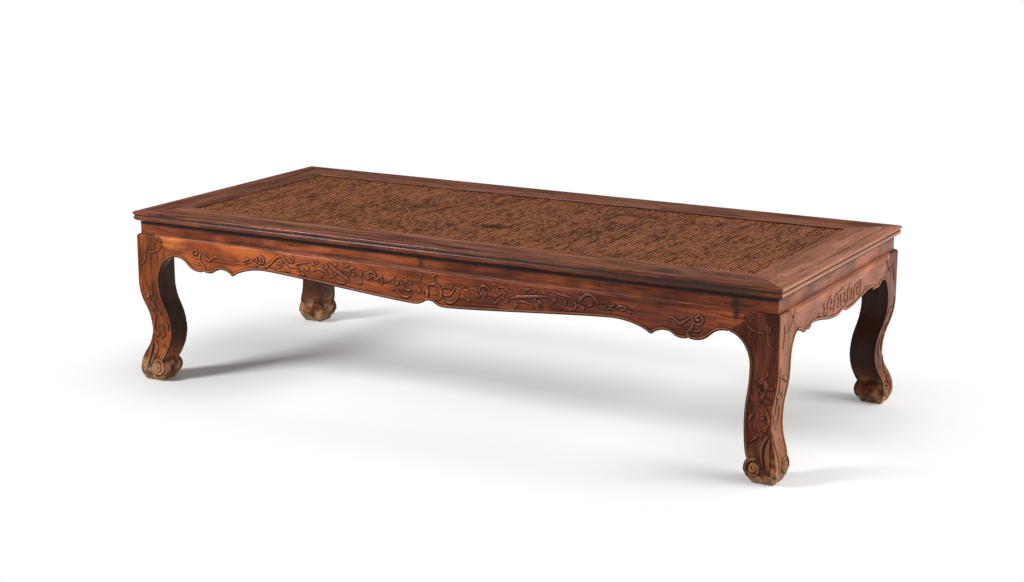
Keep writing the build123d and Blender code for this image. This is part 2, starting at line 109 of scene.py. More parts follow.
def settle(node, **settings):
    """Fills a node's named sockets. A setting that is no socket is one of its properties."""
    for name, value in settings.items():
        socket = node.inputs.get(name.replace("_", " "))
        if socket is None:
            setattr(node, name, value)
        else:
            fill(socket, value)


def put(kind, *values, **settings):
    """Adds a node to the newest tree. Values fill its sockets in order."""
    made = trees[-1].nodes.new("ShaderNode" + kind)
    settle(made, **settings)
    for socket, value in zip(made.inputs, values):
        fill(socket, value)
    return made


def calc(operation, a, b=0.0):
    """A Math node of two values."""
    return put("Math", a, b, operation=operation).outputs[0]


def product(first, *others):
    """Multiplies values."""
    for other in others:
        first = calc("MULTIPLY", first, other)
    return first


def total(first, *others):
    """Adds values."""
    for other in others:
        first = calc("ADD", first, other)
    return first


def combine(operation, *vectors):
    """The outputs of a Vector Math node."""
    return put("VectorMath", *vectors, operation=operation).outputs


def span(value, low, high, to_low=0.0, to_high=1.0):
    """Maps a value smoothly from one range to another."""
    return put("MapRange", value, low, high, to_low, to_high, interpolation_type="SMOOTHSTEP").outputs[0]


def mix(share, a, b, how="MIX"):
    """Blends two colours."""
    made = put("Mix", share, data_type="RGBA", blend_type=how, clamp_factor=True)
    fill(made.inputs[6], a)
    fill(made.inputs[7], b)
    return made.outputs[2]


print("node helpers ready")

# %% [markdown]
# ## Helpers for patterns
#
# `stretched` draws a pattern out along the grain, which is what makes noise look like wood. The
# patterns in the wood are placed by the object's own coordinates.

# %% Pattern helpers
def ramp(value, stops):
    """A colour ramp from (place, colour) pairs."""
    made = put("ValToRGB", value)
    band = made.color_ramp
    while len(band.elements) < len(stops):
        band.elements.new(0.5)
    for element, (place, colour) in zip(band.elements, stops):
        element.position = place
        element.color = (*colour, 1.0)
    return made.outputs[0]


def noise(where, scale, detail=2.0, roughness=0.5):
    """A noise value from 0 to 1."""
    return put("TexNoise", Vector=where, Scale=scale, Detail=detail, Roughness=roughness).outputs["Fac"]


def stretched(where, scale):
    """Coordinates scaled along each axis, so that a pattern is drawn out along the small one."""
    return put("Mapping", where, Scale=scale).outputs[0]


def parts_of(vector):
    """The X, Y and Z of a vector."""
    return put("SeparateXYZ", vector).outputs


def new_material(name):
    """An empty material with its principled shader and its object coordinates."""
    made = bpy.data.materials.new(name)
    made.use_nodes = True
    trees.append(made.node_tree)
    return made, made.node_tree.nodes["Principled BSDF"], put("TexCoord").outputs["Object"]


print("pattern helpers ready")

# %% [markdown]
# ## Old rosewood: the grain
#
# The wood is a dense, oily hardwood that was waxed for generations. Three things make it: long
# dark and light streaks along the grain, fine open pores drawn out the same way, and slow drifts
# from purple-brown to orange where sun and hands have worked on it. A material is built up in
# layers, as a finish is. `Wood` holds what the layers share, and `lay` adds one.

# %% Grain
ACROSS = 15.0  # how much narrower than long the streaks are
GRAINS = {axis: [1.0 if other == axis else ACROSS for other in "xyz"] for axis in "xyz"}
DARK = (0.048, 0.012, 0.007)
MIDDLE = (0.165, 0.034, 0.013)
LIGHT = (0.350, 0.084, 0.030)
SUNNED = (0.60, 0.145, 0.024)
PORE = (0.03, 0.010, 0.006)
CLOUDED = (0.30, 0.25, 0.28)  # clouds and veins multiply the colour below them
VEINED = (0.28, 0.18, 0.17)


class Wood:
    """A wood material in the making: its nodes, and the coordinates its layers read."""

    def __init__(self, name, grain):
        self.material, self.shader, self.where = new_material(name)
        self.grain = GRAINS[grain]
        self.shape = put("NewGeometry").outputs
        self.turn = parts_of(self.shape["Normal"])
        self.place = parts_of(self.where)
        drift = put("TexNoise", Vector=self.where, Scale=2.2, Detail=2.0).outputs["Color"]
        sway = combine("MULTIPLY", drift, (0.035, 0.035, 0.035))[0]
        self.bent = combine("ADD", self.where, sway)[0]

    def lay(self, share, colour, how="MIX"):
        """Lays a colour over the wood by a share from 0 to 1."""
        self.colour = mix(share, self.colour, colour, how)


def add_streaks(wood, warm, sunned):
    """Streaks from broad bands down to hairs, and orange where the sun has worked."""
    along = stretched(wood.bent, wood.grain)
    wood.fine = noise(along, 17.0, 4.0, 0.6)
    broad, hair = noise(along, 3.2, 4.0, 0.62), noise(along, 75.0, 2.0, 0.6)
    wood.figure = total(product(broad, 0.5), product(wood.fine, 0.32), product(hair, 0.18))
    wood.colour = ramp(wood.figure, [(0.37, DARK), (0.49, MIDDLE), (0.61, LIGHT)])
    patch = noise(wood.where, 4.3, 4.0, 0.6)
    wood.lay(span(patch, 0.46, 0.66, 0.0, warm), SUNNED)
    if sunned:  # strongest at the left end
        ragged = total(wood.place["X"], product(patch, 0.9))
        light_streaks = span(wood.figure, 0.38, 0.53, 0.12, 1.0)
        wood.lay(product(span(ragged, -0.42, 0.75, sunned, 0.0), light_streaks), SUNNED)
    wood.cloud = noise(stretched(wood.where, [1 + 0.08 * s for s in wood.grain]), 7.0, 3.0)
    wood.lay(span(wood.cloud, 0.36, 0.58, 0.72, 0.0), CLOUDED, "MULTIPLY")
    wood.lay(span(noise(along, 5.5, 5.0, 0.7), 0.55, 0.62, 0.0, 0.78), VEINED, "MULTIPLY")
    drawn_out = stretched(wood.bent, [1 + 0.6 * s for s in wood.grain])
    wood.pores = span(noise(drawn_out, 95.0, 2.0), 0.30, 0.42, 0.6, 0.0)
    wood.lay(wood.pores, PORE)


print("grain ready")

# %% [markdown]
# ## Old rosewood: light, feet and marks
#
# The top, the ends and the faces that look right are painted paler, a pinkish brown: partly dust,
# partly painted light from above and from the right. Damp floors strip the feet to bare
# honey-coloured wood and blacken them in patches. Spills leave soft dark blots. The faces that look
# in under the bed are painted nearly black, as painted shade.

# %% Dust and painted light, painted shade, feet and marks
LIT_PALE_TONE = (0.345, 0.165, 0.096)
DUST_AND_TOP_LIGHT = (0.29, 0.125, 0.074)
RIGHT_LIGHT_TONE = (0.50, 0.205, 0.090)
UNDER_BED_SHADE = (0.022, 0.010, 0.007)
HONEY_LEFT = (0.50, 0.28, 0.145)
HONEY_RIGHT = (0.36, 0.165, 0.062)
SOOT = (0.030, 0.013, 0.008)
RAW_FOOT = [(0.35, (0.15, 0.07, 0.03)), (0.62, (0.52, 0.32, 0.17))]
DIRT_AND_SHADE = (0.011, 0.006, 0.005)
SPILT = (0.016, 0.012, 0.012)


def add_fading_and_painted_light(wood, gain, pale, dust_and_light_on_top, lift, lit_from_right):
    """Paler wood all over, on upward faces, and on the right end towards its front: dust, and painted
    light.
    """
    # Painted light: the end pieces are mixed towards a pale pinkish brown, as the lit right end looks
    if pale:
        wood.lay(pale, LIT_PALE_TONE)
    wood.colour = put("HueSaturation", Color=wood.colour, Value=gain).outputs["Color"]
    # Upward faces are painted lighter: partly dust, partly painted light from above, and a painted
    # highlight on the aprons' top ledge
    if dust_and_light_on_top:
        streaky = span(wood.figure, 0.41, 0.57, 0.1, 1.0)
        upward = span(wood.turn["Z"], 0.75, 0.95, 0.0, dust_and_light_on_top)
        wood.lay(product(upward, streaky), tuple(lift * c for c in DUST_AND_TOP_LIGHT))
    # Painted light: faces that look to the right, at the right end and most towards the front, are painted
    # pale and pinkish
    if lit_from_right:
        to_right = span(wood.turn["X"], 0.4, 0.8, 0.0, lit_from_right)
        right_end = span(wood.place["X"], 0.5, 0.8)
        streaky = span(wood.figure, 0.38, 0.58, 0.4, 1.0)
        nearer = span(wood.place["Y"], -0.3, 0.3, 1.0, 0.22)
        wood.lay(product(to_right, right_end, streaky, nearer), RIGHT_LIGHT_TONE)


def add_painted_shade_inside(wood):
    """Painted shade: nearly black on faces that look in under the bed, but less so at the feet."""
    inward = [product(calc("SIGN", wood.place[axis]), wood.turn[axis]) for axis in "XY"]
    hidden = span(calc("MINIMUM", *inward), -0.65, -0.35, 0.84, 0.0)
    wood.lay(product(hidden, span(wood.place["Z"], 0.06, 0.13, 0.35, 1.0)), UNDER_BED_SHADE)


def add_worn_feet(wood):
    """Honey-coloured and sooty patches low on the legs, and raw wood at the very bottom."""
    where = wood.where
    low = calc("SUBTRACT", wood.place["Z"], product(noise(where, 60.0, 4.0), 0.05))
    honey = mix(span(wood.place["X"], -0.5, 0.5), HONEY_LEFT, HONEY_RIGHT)
    patches = span(noise(where, 26.0, 4.0), 0.40, 0.60)
    wood.lay(product(span(low, 0.0, 0.080, 0.92, 0.0), patches), honey)
    patches = span(noise(where, 34.0, 4.0), 0.50, 0.62)
    wood.lay(product(span(low, 0.02, 0.10, 0.8, 0.0), patches), SOOT)
    wood.lay(span(low, -0.026, 0.002, 0.95, 0.0), ramp(noise(where, 90.0, 4.0), RAW_FOOT))


def stain(where, centre, size, strength):
    """A soft blot round a point, ragged at its edge."""
    shift, scale = [-c / s for c, s in zip(centre, size)], [1 / s for s in size]
    away = put("Mapping", where, Location=shift, Scale=scale).outputs[0]
    edge = total(combine("LENGTH", away)["Value"], product(noise(where, 70.0, 3.0), 0.9))
    return span(edge, 0.6, 1.45, strength, 0.0)


def add_marks(wood, stains, dark_above, seams):
    """Spills, a painted shadow line under the seat frame, painted shade in the frame's quirk, and its dark
    mitres.
    """
    for centre, size, strength, *other in stains:
        wood.lay(stain(wood.where, centre, size, strength), other[0] if other else SPILT)
    # Painted shadow: a near-black band along the top of the waist, where the seat frame's shadow falls
    if dark_above:
        wood.lay(span(wood.place["Z"], dark_above - 0.003, dark_above + 0.002, 0.0, 0.97), DIRT_AND_SHADE)
    if seams:
        # Painted shade: a dark line in the groove round the frame's edge. The mitre lines after it are dark
        # joints
        from_quirk = calc("ABSOLUTE", calc("SUBTRACT", wood.place["Z"], QUIRK))
        wood.lay(span(from_quirk, 0.0010, 0.0030, 0.94, 0.0), DIRT_AND_SHADE)
        from_end = calc("SUBTRACT", SEAT_X, calc("ABSOLUTE", wood.place["X"]))
        from_side = calc("SUBTRACT", SEAT_Y, calc("ABSOLUTE", wood.place["Y"]))
        from_mitre = calc("ABSOLUTE", calc("SUBTRACT", from_end, from_side))
        wood.lay(span(from_mitre, 0.0006, 0.0022, 0.85, 0.0), DIRT_AND_SHADE)


print("fading, feet and marks ready")

# %% [markdown]
# ## Old rosewood: dirt and painted shade, wear and painted highlights, polish
#
# Dirt and painted shade are found with ambient occlusion, which darkens whatever lies in a corner or
# beside carving. Wear and painted highlights are found by comparing a rounded normal with the true
# one: they differ only near an arris. Carved pieces also know how proud they stand: their crests are
# painted a lighter golden brown, part wear and part painted highlight, and their roots darker.

# %% Dirt and painted shade, wear and painted highlights, polish
WEAR_AND_HIGHLIGHT = (0.46, 0.17, 0.085)
CREST_WEAR_AND_HIGHLIGHT = (0.40, 0.150, 0.055)


def add_dirt_shade_wear_and_highlights(wood, crevice, carved, worn_feet, round_over):
    """Paints the arrises and crests light, as wear and painted highlights, and fills corners and hollows
    with dirt and painted shade.
    """
    wood.soft = put("Bevel", samples=8, Radius=round_over).outputs["Normal"]
    facing = combine("DOT_PRODUCT", wood.soft, wood.shape["Normal"])["Value"]
    edge = span(facing, 0.86, 0.99, 1.0, 0.0)
    # Dirt and painted shade: ambient occlusion darkens corners, crevices and the ground beside carving
    corner = put("AmbientOcclusion", samples=6, Distance=crevice).outputs["AO"]
    wood.grime = span(corner, 0.48, 0.97, 0.95, 0.0)
    if worn_feet:
        wood.grime = product(wood.grime, span(wood.place["Z"], 0.004, 0.022, 0.25, 1.0))
    if carved:
        relief = put("Attribute", attribute_name="relief").outputs["Fac"]
        # Crests painted a lighter golden brown: part wear, part painted highlight
        wood.lay(span(relief, 0.35, 0.9, 0.0, carved), CREST_WEAR_AND_HIGHLIGHT)
        # Concave places and the roots of the vines are darkened as well: dirt and painted shade
        hollow = span(wood.shape["Pointiness"], 0.455, 0.497, 0.95, 0.0)
        at_root = product(span(relief, 0.0, 0.35, 0.55, 0.0), span(relief, 0.0, 0.02))
        wood.grime = calc("MAXIMUM", calc("MAXIMUM", wood.grime, hollow), at_root)
        edge = calc("MAXIMUM", edge, span(wood.shape["Pointiness"], 0.505, 0.56, 0.0, 0.5))
    # Arrises and crests painted lighter: part wear, part painted highlight
    wood.lay(product(edge, span(corner, 0.55, 0.85, 0.0, 0.5)), WEAR_AND_HIGHLIGHT)
    wood.lay(wood.grime, DIRT_AND_SHADE)


def add_polish(wood, gloss, shine, texture):
    """Waxed where it is clean, dull where it is dirty, with the grain just felt."""
    waxed = span(wood.cloud, 0.3, 0.7, gloss + 0.1, gloss - 0.07)
    rough = total(waxed, product(wood.grime, 0.3))
    grit = total(product(wood.fine, 0.6), product(wood.pores, -0.8))
    bump = put("Bump", Strength=texture, Distance=0.0006, Height=grit, Normal=wood.soft).outputs[0]
    settle(wood.shader, Base_Color=wood.colour, Roughness=rough, Specular_IOR_Level=shine,
           Specular_Tint=(1.0, 0.86, 0.78), Normal=bump)


def hardwood(name, grain, gain=1.0, warm=0.3, sunned=0.0, pale=0.0, dust_and_light_on_top=0.0, lift=1.0, lit_from_right=0.0,
             gloss=0.36, shine=0.2, texture=0.35, round_over=0.0016, crevice=0.014, carved=0.0, stains=(),
             dark_above=0.0, seams=False, worn_feet=False, dark_inside=False):
    """Old waxed hardwood with its grain along the given axis."""
    wood = Wood(name, grain)
    add_streaks(wood, warm, sunned)
    add_fading_and_painted_light(wood, gain, pale, dust_and_light_on_top, lift, lit_from_right)
    # Painted shade on the faces that look in under the bed
    if dark_inside:
        add_painted_shade_inside(wood)
    if worn_feet:
        add_worn_feet(wood)
    add_marks(wood, stains, dark_above, seams)
    add_dirt_shade_wear_and_highlights(wood, crevice, carved, worn_feet, round_over)
    add_polish(wood, gloss, shine, texture)
    return wood.material


print("wood recipe ready")

# %% [markdown]
# ## Wood for each part
#
# One recipe, several boards: the seat frame and the waist run their grain round the bed, the legs
# run it upright. The right end is painted paler, pinker and lighter than the left, as painted light
# from the right. A stain has a centre, a size, a strength and, where it isn't a dark spill, a colour.

# %% Woods of the seat frame and the waist
RED_PATCH = (0.085, 0.022, 0.016)
GOLD_PATCH = (0.75, 0.22, 0.05)
BRIGHT_RED_PATCH = (0.30, 0.03, 0.012)
DARK_PATCH = (0.030, 0.012, 0.009)
rail_marks = (
    ((0.67, -0.40, 0.503), (0.07, 0.03, 0.03), 0.6),
    ((0.74, -0.452, 0.484), (0.44, 0.03, 0.023), 0.97, DARK_PATCH),
)
waist_marks = (
    ((-0.03, -0.429, 0.455), (0.014, 0.03, 0.03), 0.7),
    ((0.872, -0.429, 0.452), (0.016, 0.03, 0.04), 0.85),
)
rail = {"seams": True, "round_over": 0.0022}
long_rail = hardwood("frame_long_wood", "x", gain=0.86, warm=0.2, dust_and_light_on_top=0.78, gloss=0.27, shine=0.33,
                     texture=0.02, stains=rail_marks, **rail)
left_rail = hardwood("frame_left_wood", "y", gain=0.75, warm=0.1, dust_and_light_on_top=0.6, shine=0.35, texture=0.15,
                     **rail)
# Painted light: the right end's rail and strip are paler and lighter than the left's
right_rail = hardwood("frame_right_wood", "y", pale=0.3, gain=1.15, warm=0.1, dust_and_light_on_top=0.9, lift=1.75,
                      lit_from_right=0.75, shine=0.35, texture=0.2, **rail)
long_strip = hardwood("strip_long_wood", "x", warm=0.2, dust_and_light_on_top=0.8, lift=1.35, gloss=0.3, shine=0.3)
right_strip = hardwood("strip_right_wood", "y", pale=0.3, warm=0.1, dust_and_light_on_top=0.8, lift=1.3)
# Painted shadow: both waists carry a near-black band under the seat frame
long_waist = hardwood("waist_long_wood", "x", gain=0.92, warm=0.2, sunned=0.15, crevice=0.02,
                      dark_above=0.4645, stains=waist_marks)
end_waist = hardwood("waist_end_wood", "y", pale=0.2, dark_above=0.469)
brace_wood = hardwood("brace_wood", "y", gain=0.8, gloss=0.7)
print("materials so far:", len(bpy.data.materials))

# %% [markdown]
# ## Wood that is carved
#
# The aprons, their carving and their bead are one board, so they share their stains and their
# patches of red and gold. The dark layer round the carving, dirt and painted shadow, is the same
# wood, only much darker.

# %% Woods of the aprons and the legs
front_marks = (
    ((0.338, -0.439, 0.382), (0.013, 0.03, 0.022), 0.85),
    ((0.879, -0.439, 0.425), (0.014, 0.03, 0.03), 0.85),
    ((-0.27, -0.439, 0.395), (0.13, 0.04, 0.035), 0.60, RED_PATCH),
    ((0.36, -0.439, 0.405), (0.18, 0.04, 0.035), 0.75, RED_PATCH),
    ((0.68, -0.439, 0.400), (0.16, 0.04, 0.04), 0.60, RED_PATCH),
    ((-0.86, -0.439, 0.425), (0.06, 0.04, 0.03), 0.45, GOLD_PATCH),
    ((-0.77, -0.439, 0.425), (0.05, 0.04, 0.015), 0.45, BRIGHT_RED_PATCH),
)
# Painted light: the aprons' top ledge is painted into a pale highlight. Painted shade: their inner faces
# are nearly black
apron_wood = hardwood("apron_long_wood", "x", gain=1.02, warm=0.25, sunned=0.65, dust_and_light_on_top=0.95, lift=2.1,
                      round_over=0.0028, dark_inside=True, stains=front_marks)
apron_carving = hardwood("apron_carving_wood", "x", warm=0.25, sunned=0.55, carved=0.15, shine=0.45,
                         gloss=0.26, stains=front_marks)
bead_wood = hardwood("bead_wood", "x", gain=0.8, warm=0.25, sunned=0.5, shine=0.25, carved=0.1,
                     stains=front_marks)
# Painted light: the end aprons and their carving are paler and lighter than the front's
end_apron_wood = hardwood("apron_end_wood", "y", pale=0.25, gain=1.15, dust_and_light_on_top=0.8, lift=1.5,
                          dark_inside=True)
end_carving = hardwood("end_carving_wood", "y", pale=0.25, gain=1.15, carved=0.25, shine=0.45)
# Painted light on the legs' right faces, and painted shade on their inner faces
leg_wood = hardwood("leg_wood", "z", gain=0.62, sunned=0.6, worn_feet=True, carved=0.3, shine=0.18,
                    dark_inside=True, lit_from_right=0.5)
# Dark woods for the layer of dirt and painted shadow round the carving. The ends' layer is lighter, as
# painted light
outline_wood = hardwood("carving_shadow_wood", "x", gain=0.22, warm=0.1, sunned=0.2, gloss=0.55, shine=0.1)
end_outline_wood = hardwood("end_shadow_wood", "y", gain=0.5, warm=0.1, pale=0.2, gloss=0.55, shine=0.1)
print("materials with the carved woods:", len(bpy.data.materials))

# %% [markdown]
# ## Dress the solids
#
# A solid keeps its shape and only takes a material. The legs are dressed too, although carved
# copies will take their places.

# %% Dress the solids
def dress(node_name, material):
    """Gives a solid one material."""
    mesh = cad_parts[node_name].data
    mesh.materials.clear()
    mesh.materials.append(material)


for side in ("front", "back"):
    dress(f"frame_{side}", long_rail)
    dress(f"strip_{side}", long_strip)
    dress(f"waist_{side}", long_waist)
    dress(f"apron_{side}", apron_wood)
for side in ("left", "right"):
    dress(f"waist_{side}", end_waist)
    dress(f"apron_{side}", end_apron_wood)
dress("frame_left", left_rail)
dress("frame_right", right_rail)
dress("strip_left", left_rail)
dress("strip_right", right_strip)
dress("strip_pins", brace_wood)
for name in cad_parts:
    if name.startswith("leg_"):
        dress(name, leg_wood)
    if name.startswith("brace_"):
        dress(name, brace_wood)
print("solids dressed, but for the cane and the coir")

# %% [markdown]
# ## The faces that carry the carving
#
# The aprons stand upright, and the legs leave that plane below their knee: they draw in to the
# ankle and kick out again over the toe. Two arcs that meet give each half of this curve.
# `on_front` and `on_side` lay a drawn point on the face, `w` mm proud of it.

# %% Lay a point on a face
KNEE, ANKLE, TOE = 300, 147, 33  # heights where the leg's outer curve turns, mm
WAISTED = 24  # how far the ankle lies inside the apron's plane, mm
KICKED = -2.5  # and the toe, which stands proud of it
TUCKED = 11.5  # how far the toe draws in again by the floor, mm


def two_arcs(z, z0, x0, z1, x1):
    """An S of two equal arcs from (z0, x0) down to (z1, x1), upright at both ends."""
    half, side = (z0 - z1) / 2, (x1 - x0) / 2
    radius = (half * half + side * side) / (2 * abs(side))
    sign = 1 if side > 0 else -1
    if z0 - z <= half:
        return x0 + sign * (radius - sqrt(radius**2 - (z0 - z) ** 2))
    return x1 - sign * (radius - sqrt(radius**2 - (z - z1) ** 2))


def draw_in(z):
    """How far, in mm, a leg's outer face lies inside the apron's plane at height z."""
    if z >= KNEE:
        return 0.0
    if z >= ANKLE:
        return two_arcs(z, KNEE, 0, ANKLE, WAISTED)
    if z >= TOE:
        return two_arcs(z, ANKLE, WAISTED, TOE, KICKED)
    radius = (TOE**2 + TUCKED**2) / (2 * TUCKED)
    return KICKED + radius - sqrt(radius**2 - (TOE - max(z, 0)) ** 2)


def proud_of_leg(v, w):
    """How far in and how high, in mm, a point lies that stands w proud of the face at height v."""
    lean = draw_in(v + 0.5) - draw_in(v - 0.5)
    size = sqrt(1 + lean * lean)
    return draw_in(v) - w / size, v + w * lean / size


def on_front(u, v, w):
    """Places a point at x = u and z = v mm, w mm proud of the front faces."""
    inside, high = proud_of_leg(v, w)
    return Vector((u * MM, FRONT + inside * MM, high * MM))


def on_side(u, v, w):
    """Places a point at y = u and z = v mm, w mm proud of the right-hand faces."""
    inside, high = proud_of_leg(v, w)
    return Vector((RIGHT - inside * MM, u * MM, high * MM))


print("toe stands", round(draw_in(ANKLE) - draw_in(TOE), 1), "mm proud of the ankle")

# %% [markdown]
# ## Carving as drawn strokes
#
# The real carver lowered the ground and left rounded vines standing. Here each vine is a curve
# with a width at every point. A stroke is a half width in mm and its points, and it thins towards
# its ends. A curl winds in to a round eye.

# %% Strokes, curls and leaves
BOLD = 1.42  # every vine is this much wider than drawn


def stroke(width, *points):
    """A vine that thins towards both ends."""
    drawn = []
    for i, (x, z) in enumerate(points):
        t = i / (len(points) - 1)
        taper = 0.4 + 0.6 * min(1.0, 3.5 * t, 3.5 * (1 - t))
        drawn.append((x, z, width * BOLD * taper))
    return drawn


def curl(x, z, outer, turns, start, width):
    """A spiral from its outer end, at start degrees, in to its eye. Negative turns run clockwise."""
    steps = max(6, int(abs(turns) * 10))
    drawn = []
    for i in range(steps + 1):
        t = i / steps
        angle = radians(start + 360 * turns * t)
        reach = outer * (1 - 0.93 * t**0.8)
        drawn.append((x + reach * cos(angle), z + reach * sin(angle), width * (1.05 + 0.35 * t**3)))
    return drawn


def leaf(width, *points):
    """A pointed leaf, full in the middle."""
    last = len(points) - 1
    return [(x, z, 0.8 + width * sin(pi * (i + 0.15) / (last + 0.3))) for i, (x, z) in enumerate(points)]


def flip(strokes, axis=0):
    """Mirrors strokes left to right about an upright axis."""
    return [[(2 * axis - u, v, r) for u, v, r in line] for line in strokes]


def small_curls(places):
    """Little hooked curls that fill the ground between the larger ones."""
    made = []
    for i, (x, z) in enumerate(places):
        way = 1 if i % 2 else -1
        made.append(curl(x, z, 6.5 + i % 3, 1.2 * way, 60 * i, 2.1))
        made.append(stroke(2.1, (x + 6 * way, z - 3), (x + 12 * way, z + 5), (x + 20 * way, z + 6)))
    return made


print("drawing tools ready")

# %% [markdown]
# ## From strokes to relief
#
# The tube round each stroke is flattened on to the face, so that wide leaves stay as low as thin
# stems. A voxel remesh then fuses all that cross into one body.

# %% Lay down and fuse
HALF_FACES = {on_front: round(RIGHT / MM), on_side: round(-FRONT / MM)}  # half their lengths, mm
ARRIS = 1.2  # how far the carving keeps from the corner between two faces, mm
VINE = 4.4  # how high the vines stand, mm
REACH = 5.5  # nothing stands further than this outside the aprons' plane, mm
EULER = 2.718
STEEP = 1.5  # how soon a tube's rise levels off
SQUASHED = 0.45  # what is left of the buried side of a tube
ROOTED = -1.5  # and how deep it may lie, mm


def select_only(*pieces):
    """Selects these pieces, and makes the first one active."""
    bpy.ops.object.select_all(action="DESELECT")
    for piece in pieces:
        piece.select_set(True)
    bpy.context.view_layer.objects.active = pieces[0]


def lay_strokes(name, strokes, place, top=VINE, wider=0.0, drop=0.0):
    """Turns strokes into one mesh of flattened tubes on a face."""
    drawing = bpy.data.curves.new(name, "CURVE")
    drawing.dimensions = "3D"
    drawing.bevel_depth = 1.0
    drawing.bevel_resolution = 2
    drawing.resolution_u = 4
    drawing.use_fill_caps = True
    for line in strokes:
        spline = drawing.splines.new("BEZIER")
        spline.bezier_points.add(len(line) - 1)
        for knot, (u, v, r) in zip(spline.bezier_points, line):
            # A dark layer is moved down below its vine here, so that it reads as a painted shadow
            knot.co = (u, v - drop, 0)
            knot.radius = r + wider
            knot.handle_left_type = knot.handle_right_type = "AUTO"
    piece = bpy.data.objects.new(name, drawing)
    bpy.context.scene.collection.objects.link(piece)
    select_only(piece)
    bpy.ops.object.convert(target="MESH")
    for vertex in piece.data.vertices:
        u, v, w = vertex.co
        high = min(top, REACH + draw_in(v))
        w = high * (1 - EULER ** (-STEEP * w / high)) if w > 0 else max(w * SQUASHED, ROOTED)
        edge = HALF_FACES[place] - draw_in(v) - ARRIS
        vertex.co = place(max(-edge, min(edge, u)), v, w)
    return piece


def fuse(piece, voxel):
    """Fuses crossing parts into one skin and takes the steps off it."""
    select_only(piece)
    melt = piece.modifiers.new("melt", "REMESH")
    melt.mode = "VOXEL"
    melt.voxel_size = voxel
    melt.use_smooth_shade = True
    bpy.ops.object.modifier_apply(modifier="melt")
    piece.modifiers.new("soften", "SMOOTH")
    bpy.ops.object.modifier_apply(modifier="soften")
    print(piece.name, "has", len(piece.data.polygons), "faces")


print("carving tools ready")

# %% [markdown]
# ## The drawing on the front apron
#
# Young dragons with vine tails face a flame in the middle. What reads from a step away is a chain
# of curls with calm wood between them. Points are x and z in mm on the front face.

# %% The middle of the front apron
FLAME = -5  # x of the flame, which the dragon beside it is mirrored about, mm
flame_drawing = [
    leaf(6, (-5, 361), (-5, 380), (-5, 398)),
    stroke(2.8, (-17, 370), (-14, 385), (-6, 396), (10, 402), (22, 402), (33, 396), (38, 388), (39, 375),
           (33, 364), (20, 360)),
]
dragon_drawing = [
    curl(22, 380, 9, 1.3, 90, 2.2),
    stroke(2.4, (8, 422), (14, 424), (26, 427)),
    stroke(2.2, (14, 424), (17, 414), (18, 404)),
    leaf(3.4, (40, 394), (46, 397), (54, 396)),
    stroke(2.6, (45, 380), (50, 377), (60, 377), (68, 382), (76, 392), (80, 398)),
    stroke(2.6, (45, 372), (50, 362), (62, 357), (75, 360), (85, 368), (98, 380)),
    curl(88, 390, 7, 1.1, -60, 2.0),
    stroke(2.0, (99, 396), (104, 407), (108, 399)),
    curl(104, 376, 8, 1.2, 20, 2.0),
    stroke(2.3, (108, 392), (114, 398), (122, 395), (128, 386)),
    stroke(2.2, (133, 400), (139, 405), (145, 403), (150, 397)),
]
small_places = [
    (-408, 384), (-372, 414), (-330, 410), (-312, 388), (-296, 421), (-268, 421), (-240, 400), (-192, 396),
    (-150, 388), (-122, 404), (-70, 400), (60, 400), (122, 374), (148, 386), (168, 396), (205, 394),
    (240, 384), (288, 418), (336, 391), (348, 418), (408, 398), (424, 384), (462, 390), (512, 398),
]
front_drawing = flame_drawing + dragon_drawing + flip(dragon_drawing, FLAME) + small_curls(small_places)
print("the middle carries", len(front_drawing), "strokes")

# %% [markdown]
# ## The dragons' tails
#
# The two tails aren't mirror images: the right one is a run of short vines, the left one a long
# vine with curls on it. A smaller spray fills each end of the apron.

# %% The sides of the front apron
right_drawing = [
    stroke(2.6, (155, 396), (157, 408), (165, 414), (178, 414), (186, 408), (190, 399)),
    stroke(2.4, (171, 376), (172, 392), (180, 398)),
    stroke(2.6, (180, 380), (186, 385), (195, 376), (205, 374), (212, 381), (222, 385)),
    leaf(3.0, (192, 419), (200, 423), (210, 420)),
    stroke(2.4, (210, 413), (225, 419), (235, 416), (241, 407)),
    stroke(2.0, (199, 402), (210, 409), (219, 401)),
    stroke(2.0, (227, 394), (232, 402), (241, 404)),
    stroke(2.4, (238, 415), (250, 408), (262, 404)),
    stroke(3.4, (250, 391), (270, 398), (300, 402), (330, 406), (362, 409)),
    curl(264, 378, 8, 1.3, 200, 2.2),
    stroke(2.0, (262, 372), (257, 366), (250, 362)),
    stroke(2.6, (270, 385), (285, 387), (300, 386), (310, 383), (319, 371)),
    stroke(2.0, (300, 417), (304, 422), (311, 425)),
    stroke(2.0, (318, 416), (324, 421), (332, 421)),
    curl(380, 404, 8, 1.4, 150, 2.0),
    stroke(2.0, (373, 400), (372, 391), (373, 382)),
    stroke(2.6, (366, 425), (390, 420), (415, 416), (442, 411)),
    stroke(2.2, (428, 394), (438, 401), (440, 392), (435, 381)),
    stroke(2.2, (444, 404), (452, 419), (448, 431)),
    stroke(3.0, (452, 405), (455, 413), (462, 422), (478, 428), (490, 424), (499, 414), (505, 405)),
    curl(480, 406, 11, 1.5, 150, 2.3),
    leaf(3.0, (526, 395), (537, 399), (548, 396)),
    stroke(2.2, (528, 416), (536, 406), (545, 407), (549, 415)),
    stroke(2.6, (553, 399), (561, 406), (572, 409), (580, 405), (573, 399), (565, 401)),
    stroke(2.4, (582, 402), (592, 397), (603, 396)),
]
